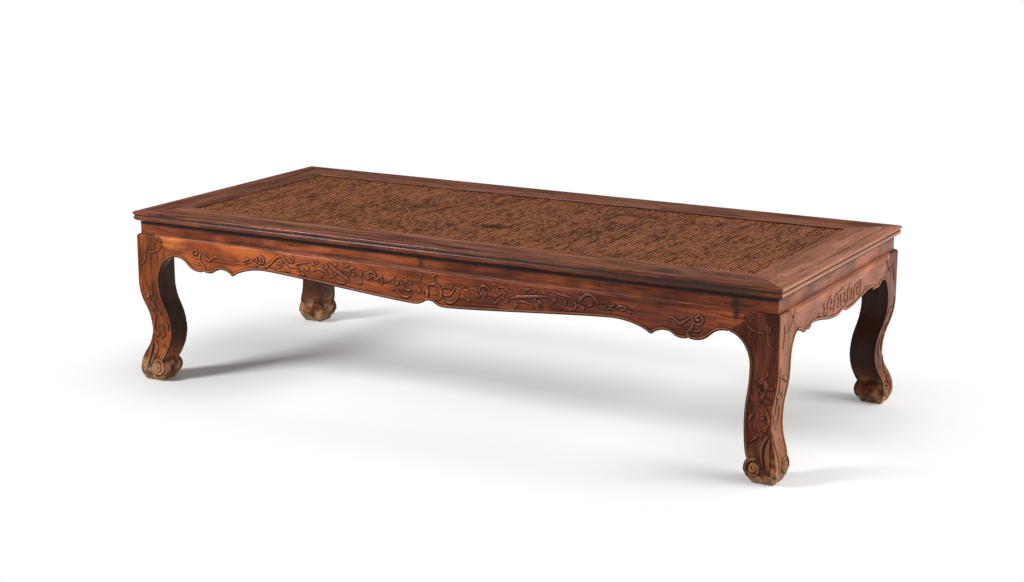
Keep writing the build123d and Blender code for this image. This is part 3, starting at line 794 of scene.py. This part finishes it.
left_drawing = [
    leaf(3.4, (-612, 393), (-600, 402), (-588, 404)),
    curl(-549, 408, 16, 1.5, 160, 2.9),
    stroke(2.9, (-606, 388), (-594, 395), (-580, 398), (-564, 391), (-545, 386), (-530, 391), (-515, 402),
           (-505, 412), (-494, 421), (-478, 425), (-468, 416), (-460, 406), (-448, 402), (-430, 408),
           (-400, 416), (-380, 420), (-356, 426)),
    stroke(2.0, (-586, 396), (-578, 406), (-568, 408)),
    stroke(2.0, (-530, 392), (-522, 384), (-510, 382), (-500, 388)),
    stroke(2.0, (-470, 390), (-462, 384), (-450, 386)),
    stroke(2.0, (-420, 398), (-410, 392), (-402, 394)),
    curl(-486, 404, 14, 1.4, 200, 2.6),
    curl(-447, 420, 11, 1.3, -90, 2.4),
    leaf(3.4, (-455, 393), (-436, 400), (-418, 398)),
    curl(-392, 400, 9, 1.5, 100, 2.2),
    stroke(3.6, (-325, 425), (-300, 406), (-280, 397), (-258, 383)),
    stroke(2.4, (-374, 393), (-360, 402), (-345, 402), (-330, 396), (-320, 386)),
    curl(-345, 384, 8, 1.2, 30, 2.0),
    stroke(2.6, (-280, 405), (-262, 409), (-250, 413), (-240, 419), (-228, 414)),
    curl(-215, 404, 8, 1.4, 60, 2.2),
    stroke(2.8, (-203, 396), (-199, 405), (-190, 412), (-178, 414), (-170, 408), (-169, 396)),
    stroke(2.4, (-236, 385), (-228, 379), (-219, 379), (-210, 385)),
    leaf(3.0, (-168, 394), (-157, 401), (-146, 404)),
    stroke(2.2, (-300, 378), (-285, 372), (-270, 374), (-262, 381)),
    stroke(2.2, (-250, 376), (-262, 392), (-252, 398)),
]
spray_drawing = [
    stroke(2.8, (696, 393), (704, 398), (713, 397), (722, 391), (730, 385), (740, 390), (756, 401)),
    stroke(1.8, (734, 395), (742, 403), (749, 401)),
    curl(780, 402, 19, 1.5, 170, 3.0),
    stroke(2.8, (767, 401), (764, 383), (760, 374), (752, 367), (750, 360), (755, 352)),
    stroke(2.4, (757, 370), (775, 370), (792, 376)),
]
front_drawing += right_drawing + left_drawing + spray_drawing + flip(spray_drawing)
print("front apron carries", len(front_drawing), "strokes")

# %% [markdown]
# ## The drawing on the end aprons
#
# The end aprons carry one close cluster of curls that lean left and right by turns. Points are y
# and z in mm on the right face.

# %% End apron drawing
end_drawing = []
for i, y in enumerate((-134, -112, -88, -62, -38, -14, 12, 38, 60, 86, 110, 134)):
    lean = 1 if i % 2 else -1
    tall = 396 + 12 * cos(y / 95) + 4 * (i % 3)
    foot, crook = (y - 9 * lean, 366 + i % 3 * 4), (y + 12 * lean, tall - 8)
    rise = [(y - 6 * lean, 380), (y + lean, tall - 5), (y + 8 * lean, tall)]
    end_drawing.append(stroke(2.4, foot, *rise, crook))
    end_drawing.append(curl(y + 3 * lean, 377 + i % 4 * 3, 8, 1.3 * lean, 120 + 60 * (i % 2), 2.0))
    if i % 3 == 1:
        end_drawing.append(leaf(3.2, (y + 6, 400), (y + 13, 408), (y + 21, 411)))
end_spray = [
    stroke(2.2, (345, 402), (352, 412), (348, 424), (338, 428), (330, 420)),
    leaf(3.2, (160, 372), (172, 380), (186, 382)),
]
end_drawing.append(stroke(2.8, (-44, 398), (-32, 408), (-12, 408), (8, 403)))
for line in end_spray:
    end_drawing += flip([line]) + [line]
print("an end apron carries", len(end_drawing), "strokes")

# %% [markdown]
# ## The drawing on the legs
#
# Each leg has a climbing vine on its two outer faces, a scroll at the foot and a leaf that folds
# over the outer corner.

# %% Leg drawings
leg_front_drawing = [
    stroke(2.4, (903, 414), (908, 405), (920, 394), (930, 390), (945, 387), (957, 388)),
    curl(961, 399, 10, 1.4, -90, 2.4),
    stroke(2.2, (965, 391), (963, 376), (966, 362), (975, 352), (983, 346)),
    stroke(2.0, (900, 418), (908, 427), (918, 430), (924, 423), (917, 417)),
    stroke(2.2, (966, 299), (965, 285), (960, 278), (952, 272)),
    curl(950, 263, 8, 1.2, 60, 2.4),
    leaf(6.0, (958, 270), (961, 258), (960, 244)),
    curl(974, 251, 8, 1.3, 150, 2.2),
    stroke(2.8, (957, 243), (953, 232), (949, 222), (951, 213)),
    curl(963, 212, 9, 1.4, 120, 2.2),
    stroke(2.0, (932, 264), (934, 253), (942, 244), (948, 232), (944, 222), (942, 205)),
    curl(934, 202, 6, 1.0, 0, 2.2),
    stroke(3.0, (950, 202), (955, 188), (960, 175), (962, 161), (960, 148), (954, 139)),
    curl(947, 166, 6, 1.0, 180, 2.2),
    leaf(4.5, (926, 179), (914, 166), (911, 150)),
    stroke(2.2, (924, 167), (928, 150), (925, 138), (935, 127)),
    curl(953, 138, 9, 1.3, 150, 2.2),
    leaf(3.0, (920, 103), (929, 112), (940, 119)),
    stroke(2.6, (969, 130), (960, 115), (953, 102), (951, 90), (953, 75), (957, 60), (961, 44)),
    stroke(2.0, (967, 121), (951, 109), (944, 96), (945, 80), (948, 66)),
    curl(935, 41, 25, 2.1, 75, 3.6),
    leaf(6.0, (968, 119), (966, 95), (968, 72), (973, 50), (976, 30)),
]
leg_side_drawing = [
    stroke(2.8, (-413, 130), (-408, 104), (-402, 86), (-401, 70), (-404, 50), (-407, 30)),
    leaf(5.0, (-412, 119), (-411, 95), (-413, 72), (-418, 50), (-421, 30)),
    stroke(3.0, (-428, 302), (-424, 270), (-416, 245), (-408, 225), (-401, 205), (-397, 185), (-397, 165),
           (-400, 148)),
    leaf(4.5, (-414, 277), (-395, 270), (-374, 256)),
    curl(-412, 226, 8, 1.3, 40, 2.2),
    curl(-388, 206, 8, 1.2, 200, 2.2),
    stroke(2.2, (-398, 230), (-385, 226), (-376, 215)),
    stroke(2.2, (-384, 202), (-376, 188), (-372, 160), (-378, 145), (-391, 134)),
    curl(-404, 168, 7, 1.2, 250, 2.0),
    curl(-380, 41, 21, 1.9, 75, 3.4),
    curl(-405, 398, 9, 1.4, -90, 2.3),
    stroke(2.2, (-352, 414), (-358, 403), (-368, 393), (-384, 388), (-402, 388)),
    stroke(2.2, (-409, 391), (-408, 376), (-411, 362), (-420, 350)),
]
print("a leg carries", len(leg_front_drawing) + len(leg_side_drawing), "strokes")

# %% [markdown]
# ## The bead along the lower edge
#
# A raised bead runs along the cusped edge of each apron and on down the inner edge of each leg.
# It frames the carving and catches the light. Its line is the edge itself: the sharp edge where
# the outer face turns under, found on a welded copy of the solid.

# %% Find an edge on a solid
import bmesh


def welded(node_name):
    """A bmesh of a solid, with its loose triangles joined."""
    made = bmesh.new()
    made.from_mesh(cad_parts[node_name].data)
    bmesh.ops.remove_doubles(made, verts=made.verts, dist=0.02 * MM)
    made.normal_update()
    return made


def lower_edge(node_name, out, under):
    """Points of the edge between faces that look out and faces that look under or inwards."""
    made = welded(node_name)
    line = set()
    for edge in made.edges:
        if len(edge.link_faces) != 2:
            continue
        a, b = (face.normal for face in edge.link_faces)
        if a.dot(out) < b.dot(out):
            a, b = b, a
        if a.dot(out) > 0.8 and b.dot(out) < 0.5 and max(b.dot(way) for way in under) > 0.4:
            line.update(tuple(round(c, 6) for c in vertex.co) for vertex in edge.verts)
    made.free()
    return [Vector(point) for point in line]


to_front, to_back, down = Vector((0, -1, 0)), Vector((0, 1, 0)), Vector((0, 0, -1))
to_right, to_left = Vector((1, 0, 0)), Vector((-1, 0, 0))
inward = [to_left, down, to_back]
front_edge = sorted(lower_edge("apron_front", to_front, [down]), key=lambda p: p.x)
end_edge = sorted(lower_edge("apron_right", to_right, [down]), key=lambda p: p.y)
leg_front_edge = sorted(lower_edge("leg_front_right", to_front, inward), key=lambda p: -p.z)
leg_side_edge = sorted(lower_edge("leg_front_right", to_right, inward), key=lambda p: -p.z)
print("front edge", len(front_edge), "points, end edge", len(end_edge), "points")

# %% [markdown]
# ## Bead lines
#
# The bead lies 3 mm inside the edge. Each point is moved at right angles to the line through its
# two neighbours, towards the wood. The bead of an apron ends at its two mitres, and the bead of a
# leg runs from there down to the scroll at its foot.

# %% Bead lines
BEAD = 2.9  # half width, mm
BEAD_STEP = 3.0  # points nearer to each other than this are left out, mm
BEAD_INSIDE = 1.05  # how far inside the edge the bead lies, in its own half widths
BELOW_MITRES = 400  # the lower edge of an apron lies below this, mm
FRONT_MITRE = (861, 382.5)  # where the mitres on the front and end faces start at the edge, mm
END_MITRE = (321, 373.5)
FOOT_SCROLL = 30  # the height where a leg's bead ends, mm
LEG_FRONT_LIMIT, LEG_SIDE_LIMIT = 924, -369  # a leg's inner edges lie on this side of these, mm
NEAR_FACE = 1.2 * MM  # a point this near to a face is on it


def bead_line(points, inside):
    """A stroke of even width that follows (u, v) points, moved towards the inside point."""
    kept = [points[0]]
    for point in points[1:]:
        if hypot(point[0] - kept[-1][0], point[1] - kept[-1][1]) > BEAD_STEP:
            kept.append(point)
    drawn = []
    for i, (u, v) in enumerate(kept):
        u0, v0 = kept[max(i - 1, 0)]
        u1, v1 = kept[min(i + 1, len(kept) - 1)]
        length = hypot(u1 - u0, v1 - v0) or 1.0
        across = (-(v1 - v0) / length, (u1 - u0) / length)
        if across[0] * (inside[0] - u) + across[1] * (inside[1] - v) < 0:
            across = (-across[0], -across[1])
        drawn.append((u + across[0] * BEAD * BEAD_INSIDE, v + across[1] * BEAD * BEAD_INSIDE, BEAD))
    return drawn


def in_mm(points, along):
    """(u, v) in mm from points in metres."""
    return [(getattr(p, along) / MM, p.z / MM) for p in points]


def apron_line(points, along, mitre):
    """The lower edge of an apron between its mitres."""
    return [(u, v) for u, v in in_mm(points, along) if abs(u) < mitre[0] and v < BELOW_MITRES]


def leg_line(points, along, inside, mitre):
    """The inner edge of a leg's outer face. `inside` tells how far a point lies inside the plane."""
    on_face = [p for p in points if abs(inside(p) - draw_in(p.z / MM) * MM) < NEAR_FACE]
    return [(u, v) for u, v in in_mm(on_face, along) if FOOT_SCROLL < v < mitre[1]]


front_bead = bead_line(apron_line(front_edge, "x", FRONT_MITRE), (0, 2000))
end_bead = bead_line(apron_line(end_edge, "y", END_MITRE), (0, 2000))
leg_front_line = leg_line(leg_front_edge, "x", lambda p: p.y - FRONT, FRONT_MITRE)
leg_side_line = leg_line(leg_side_edge, "y", lambda p: RIGHT - p.x, END_MITRE)
leg_front_bead = bead_line([p for p in leg_front_line if p[0] < LEG_FRONT_LIMIT], (2000, 200))
leg_side_bead = bead_line([p for p in leg_side_line if p[0] > LEG_SIDE_LIMIT], (-2000, 200))
print("bead points", len(front_bead), len(end_bead), len(leg_front_bead), len(leg_side_bead))

# %% [markdown]
# ## Carve the aprons
#
# Each apron gets its vines as one piece and its bead as another. Below them lies a third, a little
# wider, very thin and set a little lower: dirt round the carving and in the mitres, and a painted
# shadow below each vine.
# The back is a turned copy of the front, and the left end a mirrored copy of the right, so each
# drawing is laid down once.

# %% Apron carving
OUTLINE = 1.6  # how far the dark layer of dirt and painted shadow reaches beyond a vine, mm
SEAM = 0.8 - OUTLINE  # half width of the dirt in a mitre, less what it is widened by
# The aprons' dark layer: dirt round the carving, set lower as a painted shadow below each vine
apron_dirt_and_shadow = {"top": 0.35, "wider": OUTLINE, "drop": 0.8}
front_seams = [[(932, 436, SEAM), (897, 409, SEAM), (863, 382, SEAM)]]
end_seams = [[(377, 436, SEAM), (350, 405, SEAM), (323, 373, SEAM)]]


def turned_copy(piece, name, flip_x, flip_y):
    """A copy with its own mesh, mirrored through the middle planes of the bed."""
    twin = piece.copy()
    twin.data = piece.data.copy()
    twin.name = twin.data.name = name
    bpy.context.scene.collection.objects.link(twin)
    for vertex in twin.data.vertices:
        vertex.co.x *= flip_x
        vertex.co.y *= flip_y
    if flip_x * flip_y < 0:
        twin.data.flip_normals()
    return twin


def mark_relief(piece):
    """Writes how far each point stands proud of the right or front face, 1 at 4 mm."""
    mark = piece.data.attributes.new("relief", "FLOAT", "POINT")
    for vertex, note in zip(piece.data.vertices, mark.data):
        x, y, z = vertex.co
        inside = draw_in(z / MM) * MM
        proud = max(FRONT + inside - y, x - RIGHT + inside)
        note.value = max(0.0, min(1.0, proud / (4 * MM)))


carving_front = lay_strokes("carving_front", front_drawing, on_front)
fuse(carving_front, voxel=1.05 * MM)
bead_front = lay_strokes("bead_front", [front_bead], on_front)
carving_right = lay_strokes("carving_right", end_drawing, on_side)
fuse(carving_right, voxel=1.0 * MM)
bead_right = lay_strokes("bead_right", [end_bead], on_side)
front_dirt_and_shadow = front_drawing + [front_bead] + front_seams + flip(front_seams)
end_dirt_and_shadow = end_drawing + [end_bead] + end_seams + flip(end_seams)
outline_front = lay_strokes("carving_outline_front", front_dirt_and_shadow, on_front, **apron_dirt_and_shadow)
outline_right = lay_strokes("carving_outline_right", end_dirt_and_shadow, on_side, **apron_dirt_and_shadow)
for piece in (carving_front, bead_front, carving_right, bead_right):
    mark_relief(piece)
for piece in (bead_front, bead_right):
    select_only(piece)
    bpy.ops.object.shade_smooth()
outlines = [outline_front, turned_copy(outline_front, "carving_outline_back", -1, -1)]
end_outlines = [outline_right, turned_copy(outline_right, "carving_outline_left", -1, 1)]
carvings = [carving_front, turned_copy(carving_front, "carving_back", -1, -1)]
beads = [bead_front, turned_copy(bead_front, "bead_back", -1, -1)]
end_carvings = [carving_right, turned_copy(carving_right, "carving_left", -1, 1)]
end_carvings += [bead_right, turned_copy(bead_right, "bead_left", -1, 1)]
print("aprons carry", len(carvings) + len(beads) + len(end_carvings), "carved pieces")

# %% [markdown]
# ## Carve the legs
#
# A leg is one bent post, so its vines, bead and scrolls are fused with the post itself. The skin
# is then softened, as hands and cloths soften every arris, and its foot is gnawed a little where
# it has stood on damp floors. One leg is made and mirrored to the other three corners.

# %% Legs
# The legs' dark layer: dirt round the carving, set lower as a painted shadow below each vine
leg_dirt_and_shadow = {"top": 0.9, "wider": OUTLINE, "drop": 0.5}
leg_front_strokes = leg_front_drawing + [leg_front_bead]
leg_side_strokes = leg_side_drawing + [leg_side_bead]


def solid_copy(node_name, name):
    """A welded copy of a solid as a new piece."""
    shape = welded(node_name)
    mesh = bpy.data.meshes.new(name)
    shape.to_mesh(mesh)
    shape.free()
    piece = bpy.data.objects.new(name, mesh)
    bpy.context.scene.collection.objects.link(piece)
    return piece


def at_corners(piece, prefix):
    """A piece at the right front corner, with its copies at the other three."""
    others = (("front_left", -1, 1), ("back_right", 1, -1), ("back_left", -1, -1))
    return [piece] + [turned_copy(piece, prefix + corner, x, y) for corner, x, y in others]


def gnaw(leg):
    """Moves the skin in and out a little all over, and most within 24 mm of the floor."""
    rough = bpy.data.textures.new("gnawed_foot", "CLOUDS")
    rough.noise_scale = 9 * MM
    rough.noise_depth = 2
    foot = leg.vertex_groups.new(name="foot")
    for vertex in leg.data.vertices:
        share = max(0.0, min(1.0, (0.024 - vertex.co.z) / 0.016))
        foot.add([vertex.index], 0.12 + 0.88 * share, "REPLACE")
    worn = leg.modifiers.new("worn", "DISPLACE")
    worn.texture = rough
    worn.texture_coords = "LOCAL"
    worn.vertex_group = "foot"
    worn.mid_level = 0.75
    worn.strength = 4.5 * MM
    select_only(leg)
    bpy.ops.object.modifier_apply(modifier="worn")
    for vertex in leg.data.vertices:
        vertex.co.z = max(vertex.co.z, 0.0)


leg = solid_copy("leg_front_right", "carved_leg_front_right")
front_vines = lay_strokes("front_vines", leg_front_strokes, on_front)
side_vines = lay_strokes("side_vines", leg_side_strokes, on_side)
select_only(leg, front_vines, side_vines)
bpy.ops.object.join()
fuse(leg, voxel=1.5 * MM)
gnaw(leg)
mark_relief(leg)
leg_pieces = at_corners(leg, "carved_leg_")
for piece in leg_pieces:
    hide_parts(piece.name.replace("carved_", ""))
outline = lay_strokes("leg_outline_front_right", leg_front_strokes, on_front, **leg_dirt_and_shadow)
side_outline = lay_strokes("side_outline", leg_side_strokes, on_side, **leg_dirt_and_shadow)
select_only(outline, side_outline)
bpy.ops.object.join()
outlines += at_corners(outline, "leg_outline_")
print("made", len(leg_pieces), "legs")

# %% [markdown]
# ## Finish the carving
#
# Every carved piece rides with the frame and takes the wood of the board it stands on. The dark
# layer of dirt and painted shadow round the carving takes the darkened wood.

# %% Ride and finish
for material, pieces in (
    (apron_carving, carvings),
    (bead_wood, beads),
    (end_carving, end_carvings),
    (leg_wood, leg_pieces),
    (outline_wood, outlines),
    (end_outline_wood, end_outlines),
):
    for piece in pieces:
        piece.data.materials.clear()
        piece.data.materials.append(material)
        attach(piece, "root")
print("carved pieces:", len(carvings) + len(beads) + len(end_carvings) + len(leg_pieces))

# %% [markdown]
# ## Cane seat
#
# A soft seat is woven in place from narrow strands of peeled rattan, over a net of coir cords
# that takes the load. It is a stretched sheet. A grid with two cells to the width of a strand and
# four to each crossing raises the crossings and sinks the gaps. The material draws the strands.

# %% Woven sheets
HALF_SHEET = (0.895, 0.34)
SUNK_IN_GAP = (0.3, 0.75, 1.0, 0.75)
SUNK_ON_STRAND = (0.15, 0.05, 0.0, 0.05)
WANDER = (0.0014, 0.0022)  # how far strands stray sideways, along x and along y


def woven_sheet(name, pitch, row, top, depth, waves):
    """A grid with strands along y at a pitch, crossed by rows along x, and staggered low holes."""
    half_x, half_y = HALF_SHEET
    across, along = round(4 * half_x / pitch), round(8 * half_y / row)
    bpy.ops.object.select_all(action="DESELECT")
    bpy.ops.mesh.primitive_grid_add(x_subdivisions=across, y_subdivisions=along, size=1, location=(0, 0, 0))
    piece = bpy.context.object
    piece.name = piece.data.name = name
    for vertex in piece.data.vertices:
        i = round((vertex.co.x + 0.5) * across)
        j = round((vertex.co.y + 0.5) * along)
        phase = (j + 2 * (i // 2 % 2)) % 4
        sunk = depth * (SUNK_IN_GAP[phase] if i % 2 else SUNK_ON_STRAND[phase])
        x, y = vertex.co.x * 2 * half_x, vertex.co.y * 2 * half_y
        drift = waves * (sin(x * 9.1 + 0.7) * sin(y * 14.3 + x * 3.0) - 1.0)
        hem = max(0.0, 1 - (2 * vertex.co.x) ** 8) * max(0.0, 1 - (2 * vertex.co.y) ** 4)
        x += hem * WANDER[0] * (sin(y * 13.0 + 1.3) + 0.6 * sin(y * 31.0 + x * 7.0))
        y += hem * WANDER[1] * (sin(x * 13.0) + 0.7 * sin(x * 31.0 + y * 9.0))
        vertex.co = (x, y, top - sunk * MM + drift * MM)
    select_only(piece)
    bpy.ops.object.shade_smooth()
    strands = (across / 2, along / 4)
    print(name, "has", strands, "strands")
    return piece, strands


cane, cane_strands = woven_sheet("cane_seat", pitch=0.010, row=0.017, top=0.4990, depth=1.4, waves=0.12)
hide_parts("cane_mat")
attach(cane, "root")
coir, coir_strands = woven_sheet("coir_net", pitch=0.014, row=0.020, top=0.4955, depth=2.0, waves=0.1)
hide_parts("coir_webbing")
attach(coir, "root")
print("the cane spans", [round(v, 3) for v in cane.dimensions])

# %% [markdown]
# ## Cane and coir
#
# Old cane is honey gone to brown. Between the strands the holes are painted near black, as painted
# shade. The strands that run front to back stand highest and are painted lighter than those across,
# as painted light, so the seat reads as rows of short strokes.

# %% Woven finishes
WET = (0.10, 0.10, 0.10)  # what a water stain leaves of the colour
cane_marks = (
    ((0.01, -0.113, 0.499), (0.08, 0.04, 0.2), 0.8),
    ((-0.35, 0.05, 0.499), (0.12, 0.05, 0.2), 0.35),
    ((0.30, 0.22, 0.499), (0.14, 0.04, 0.2), 0.35),
)


def chance(x, y):
    """A random value for each cell of a plane."""
    cell = put("CombineXYZ", x, y).outputs[0]
    return put("TexWhiteNoise", noise_dimensions="2D", Vector=cell).outputs["Value"]


def weave(name, strands, light, dark, hole, gloss, stains=()):
    """Strands both ways, counted along the sheet's own UV map, with holes between painted dark as shade."""
    made, shader, where = new_material(name)
    on_sheet = parts_of(put("TexCoord").outputs["UV"])
    u, v = product(on_sheet["X"], strands[0]), product(on_sheet["Y"], strands[1])
    number = calc("FLOOR", total(u, 0.5))
    stagger = product(calc("FLOORED_MODULO", calc("FLOOR", u), 2.0), 0.5)
    off_u = product(calc("PINGPONG", u, 0.5), 2.0)
    off_v = product(calc("PINGPONG", total(v, stagger), 0.5), 2.0)
    # Painted shade: the strands across are mixed towards the dark hole colour, dimmer than those along y
    level = product(span(off_v, 0.30, 0.60, 1.0, 0.0), 0.40)
    raised = calc("MAXIMUM", span(off_u, 0.26, 0.58, 1.0, 0.0), level)
    strand = chance(number, calc("FLOOR", product(v, 0.15)))
    crossing = chance(number, calc("FLOOR", v))
    blotch = noise(where, 6.5, 5.0, 0.65)
    tone = total(product(strand, 0.30), product(blotch, 0.58), product(crossing, 0.45))
    # Painted shade: the holes between strands take the near-black hole colour
    colour = mix(raised, hole, ramp(tone, [(0.35, dark), (0.88, light)]))
    for mark in stains:
        colour = mix(stain(where, *mark), colour, WET, "MULTIPLY")
    bump = put("Bump", Strength=0.7, Distance=0.001, Height=raised).outputs[0]
    settle(shader, Base_Color=colour, Roughness=gloss, Specular_IOR_Level=0.15, Normal=bump)
    return made


cane_finish = weave("old_cane", cane_strands, light=(0.53, 0.185, 0.072), dark=(0.12, 0.040, 0.019),
                    hole=(0.010, 0.005, 0.004), gloss=0.5, stains=cane_marks)
coir_finish = weave("coir_net", coir_strands, light=(0.30, 0.20, 0.11), dark=(0.12, 0.075, 0.04),
                    hole=(0.02, 0.014, 0.01), gloss=0.9)
cane.data.materials.append(cane_finish)
coir.data.materials.append(coir_finish)
print("woven finishes ready, on", len(cane.data.uv_layers), "UV map")

# %% [markdown]
# ## Studio floor
#
# The floor is a plain pale disc that takes the bed's soft shadows. A short way round the bed it
# fades to pure white, to the eye and in gloss. To the eye it is also painted a little lighter below
# the bed and towards its right and back: a glow that stands in for light thrown in from the sides.

# %% Floor
FADE = (0.03, 0.36)  # where the fade to white starts and ends, in metres round the bed
BELOW_BED = 0.40  # painted light below the middle of the bed, a glow that only the eye sees
# Painted light towards the right and the back
FROM_RIGHT, FROM_BACK = 0.14, 0.18


def seen_by():
    """Shares of rays: those to the eye and through glass, and those in gloss."""
    rays = put("LightPath").outputs
    return calc("MAXIMUM", rays["Is Camera Ray"], rays["Is Transmission Ray"]), rays["Is Glossy Ray"]


def painted_floor_light(spot, along, across):
    """How much painted light, as a glow that only the eye sees, the floor gets at a spot."""
    below = product(span(along, 0.40, 0.88, 1.0, 0.0), span(across, 0.25, 0.85, 1.0, 0.0), BELOW_BED)
    right, back = span(spot["X"], 0.45, 1.05, 0.0, FROM_RIGHT), span(spot["Y"], 0.0, 0.45, 0.0, FROM_BACK)
    return total(below, calc("MAXIMUM", right, back))


def floor_material():
    """Pale matt paint that fades to pure white round the bed."""
    made, paint, where = new_material("floor_paint")
    settle(paint, Base_Color=(0.9, 0.9, 0.9), Roughness=0.9, Specular_IOR_Level=0.0)
    shown, in_gloss = seen_by()
    spot = parts_of(where)
    along, across = calc("ABSOLUTE", spot["X"]), calc("ABSOLUTE", spot["Y"])
    beyond_x = calc("MAXIMUM", calc("SUBTRACT", along, RIGHT), 0.0)
    beyond_y = calc("MAXIMUM", total(across, FRONT), 0.0)
    far = combine("LENGTH", put("CombineXYZ", beyond_x, beyond_y).outputs[0])["Value"]
    fade = product(span(far, *FADE), calc("MAXIMUM", shown, in_gloss))
    # Painted light: an emission that only the eye sees lightens the floor below the bed and to its right
    # and back
    glow = put("Emission", (1, 1, 1), product(painted_floor_light(spot, along, across), shown)).outputs[0]
    lifted = put("AddShader", paint.outputs[0], glow).outputs[0]
    white = put("Emission", (1, 1, 1), 1.0).outputs[0]
    both = put("MixShader", fade, lifted, white).outputs[0]
    fill(made.node_tree.nodes["Material Output"].inputs["Surface"], both)
    return made


bpy.ops.object.select_all(action="DESELECT")
bpy.ops.mesh.primitive_circle_add(vertices=96, radius=14.0, fill_type="NGON", location=(0, 0, 0))
floor = bpy.context.object
floor.name = "studio_floor"
floor.data.materials.append(floor_material())
print("floor is", round(floor.dimensions.x), "m wide")

# %% [markdown]
# ## Air and lamps
#
# The surroundings look pure white to the eye. As light they are stronger from the right, and in
# gloss it is mostly their upper right part that shows. Two large soft lamps do the rest.

# %% Air and lamps
WINDOW = (0.80, 0.45, 0.40)  # the side the light comes from
CEILING = (0.6, 0.0, 0.8)  # the part that shows in gloss


def towards(way):
    """How nearly a ray looks the given way, from -1 to 1."""
    return combine("DOT_PRODUCT", put("TexCoord").outputs["Generated"], way)["Value"]


def soft_lamp(name, place, aim, size, watts):
    """A square area lamp that looks at a point."""
    data = bpy.data.lights.new(name, "AREA")
    data.shape = "SQUARE"
    data.size = size
    data.energy = watts
    lamp = bpy.data.objects.new(name, data)
    lamp.location = place
    lamp.rotation_euler = (Vector(aim) - Vector(place)).to_track_quat("-Z", "Y").to_euler()
    bpy.context.scene.collection.objects.link(lamp)


world = bpy.data.worlds.new("studio_air")
bpy.context.scene.world = world
world.use_nodes = True
trees.append(world.node_tree)
shown, in_gloss = seen_by()
in_air = span(towards(WINDOW), -0.5, 0.9, 0.28, 0.64)
reflected = span(towards(CEILING), 0.1, 0.8, 0.05, 1.0)
strength = total(product(in_gloss, reflected), product(calc("SUBTRACT", 1.0, in_gloss), in_air))
settle(world.node_tree.nodes["Background"], Color=(1, 1, 1), Strength=calc("MAXIMUM", strength, shown))
soft_lamp("left_softbox", place=(-2.4, -2.9, 2.6), aim=(-0.3, 0, 0.3), size=0.9, watts=130)
soft_lamp("right_softbox", place=(3.7, 0.5, 1.6), aim=(0.6, 0, 0.3), size=2.2, watts=85)
bpy.context.scene.view_settings.view_transform = "Standard"
print("studio ready")
